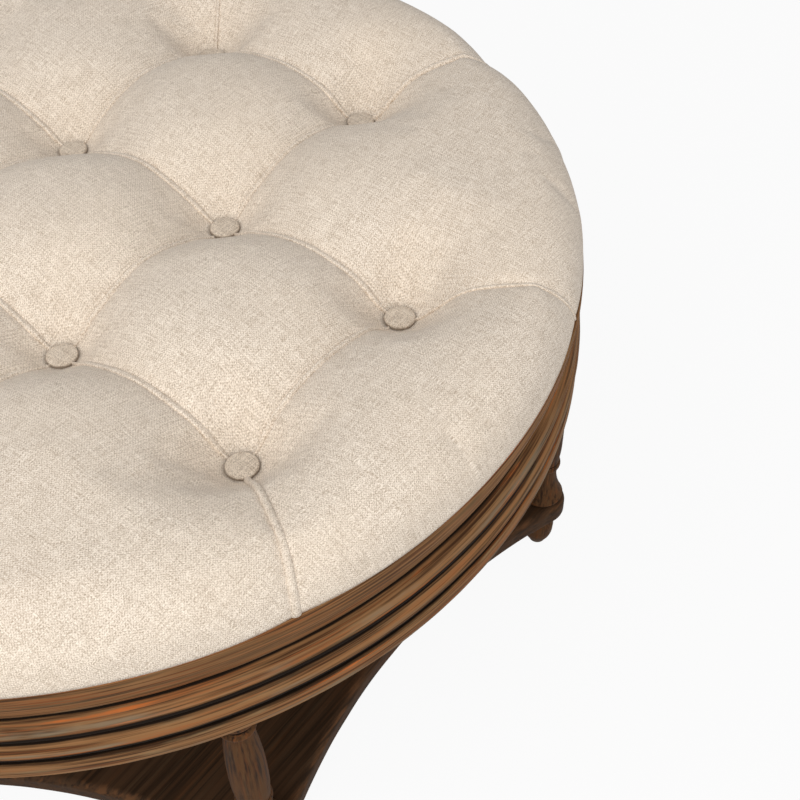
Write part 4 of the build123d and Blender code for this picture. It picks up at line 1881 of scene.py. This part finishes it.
def button_outline(bottom: float, top: float) -> Outline:
    """Draws a covered button from its underside up to the middle of its dome.

    Args:
        bottom: The level of its underside.
        top: The level of its middle.

    Returns:
        The outline.
    """
    height = top - bottom
    line = Outline((12.2 * MM, bottom), 0.5 * MM)
    line.arc((BUTTON_RADIUS, bottom + height * 0.40), 0.8 * MM)
    line.arc((11.4 * MM, bottom + height * 0.86), 1.0 * MM)
    line.arc((4.0 * MM, bottom + height * 0.985), 0.5 * MM)
    line.line((0.5 * MM, top))
    return line


def main() -> None:
    """Builds every piece around the frame."""
    logging.basicConfig(level=logging.INFO, format="%(name)s: %(message)s")
    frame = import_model()

    linen = LinenWeave().make()
    button_linen = LinenWeave(name="button_linen", lay=Lay.PLAN, thread=1.0 * MM, light=shade(243, 230, 213),
                               dark=shade(162, 145, 127), warm=shade(212, 193, 170)).make()
    ring_wood = WornWood(name="apron_finish", grain=Grain.ROUND_THE_RING).make()
    # The legs' and shelf's palettes are darker copies of the apron's worn wood: painted shade for the shade
    # that falls on them under the apron.
    turned_wood_in_shade = WornWood(name="turned_wood_painted_shade", grain=Grain.UPRIGHT, deep=shade(46, 30, 19),
                           middle=shade(88, 60, 37), red=shade(96, 58, 32), wash=shade(90, 70, 48),
                           patina=shade(66, 52, 38), bare=shade(112, 68, 38)).make()
    shelf_wood_in_shade = WornWood(name="shelf_wood_painted_shade", grain=Grain.ALONG_BOARDS, deep=shade(46, 32, 21),
                          middle=shade(70, 49, 33), red=shade(76, 49, 30), wash=shade(74, 58, 42),
                          patina=shade(58, 47, 36), bare=shade(98, 66, 42)).make()

    _, cover_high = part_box("cushion_cover")
    foam_low, foam_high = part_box("foam_pad")
    button_low, button_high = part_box("tuft_buttons")
    back_low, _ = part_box("button_backs")
    segment_low, segment_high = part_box("apron_segment_1")
    board_low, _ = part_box("seat_board")
    shelf_low, shelf_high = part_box("lower_shelf")
    leg_low, leg_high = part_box("leg_1")
    _, glide_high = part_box("glides")
    dust_low, dust_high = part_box("dust_cover")

    lattice = Lattice(pitch=(button_high.x - BUTTON_RADIUS) * 2 / 3)
    cushion = TuftedCushion(radius=cover_high.x, joint_level=segment_high.z + 0.2 * MM,
                            crown_level=cover_high.z, sunk_radius=foam_high.x,
                            sunk_level=foam_high.z + 0.2 * MM, seat_level=back_low.z, lattice=lattice)
    cover = cushion.build(linen)
    PleatFolds(cushion).build(cover, linen)

    recipe = turning_recipe()
    tufts = [(x, y, 0.0) for x, y in lattice.places]
    TurnedSet("covered_buttons", button_outline(button_low.z, button_high.z), tufts, "linen",
              ["tuft_buttons"], sides=40, shaded_from_run=13.0 * MM).build(recipe, button_linen)
    leg_circle = (leg_low.x + leg_high.x) / 2
    corners = [(leg_circle * math.cos(turn), leg_circle * math.sin(turn), 0.0)
               for turn in (math.radians(360 / LEG_COUNT * index) for index in range(LEG_COUNT))]
    TurnedSet("turned_legs", leg_outline(leg_low.z, leg_high.z), corners, "leg_wood",
              [f"leg_{index + 1}" for index in range(LEG_COUNT)]).build(recipe, turned_wood_in_shade)
    TurnedSet("bun_feet", foot_outline(shelf_low.z, glide_high.z), corners, "leg_wood",
              [f"bun_foot_{index + 1}" for index in range(LEG_COUNT)]).build(recipe, turned_wood_in_shade)

    ApronRing(lip_radius=segment_high.x, inner_radius=dust_high.x + 0.4 * MM,
              rabbet_radius=foam_high.x + 0.8 * MM, top=segment_high.z, ledge=board_low.z,
              bottom=segment_low.z).build(ring_wood)
    LowerShelf(leg_circle=leg_circle, bottom=shelf_low.z, top=shelf_high.z).build(shelf_wood_in_shade)

    foam = Speckled("foam", shade(236, 222, 170), shade(214, 196, 140), 1.2 * MM, 0.5 * MM).make()
    FoamPad(radius=foam_high.x, bottom=foam_low.z, top=foam_high.z, places=lattice.places).build(foam)
    black_cloth = Speckled("dust_cloth", shade(42, 41, 40), shade(22, 22, 22), 0.9 * MM, 0.25 * MM).make()
    DustCloth(radius=dust_high.x, bottom=dust_low.z, top=dust_high.z).build(black_cloth)

    dressed = {
        "seat_board": PlainTimber("plywood", along=(260.0, 9.0, 260.0)).make(),
        "spline_keys": PlainTimber("key_wood", along=(120.0, 120.0, 12.0)).make(),
        "glue_blocks": PlainTimber("block_wood", along=(120.0, 120.0, 14.0)).make(),
        "rail_front": PlainTimber("rail_wood").make(),
        "button_backs": ZincSteel().make(),
        "tuft_twines": Speckled("waxed_twine", shade(222, 210, 180), shade(170, 152, 118), 0.6 * MM,
                                0.2 * MM, 0.7).make(),
        "twine_toggles": Speckled("toggle_plastic", shade(226, 224, 216), shade(210, 208, 200), 3 * MM,
                                  0.05 * MM, 0.45).make(),
        "glides": Speckled("glide_felt", shade(120, 104, 84), shade(84, 70, 54), 0.8 * MM, 0.4 * MM).make(),
    }
    dressed["rail_back"] = dressed["rail_front"]
    for name in ("seat_screws", "block_screws", "leg_bolts", "tie_rods"):
        dressed[name] = dressed["button_backs"]
    for name, material in dressed.items():
        node = frame["nodes"][name]
        for slot in node.material_slots:
            slot.material = material

    Studio(centre_level=segment_high.z).build()


if __name__ == "__main__":
    main()
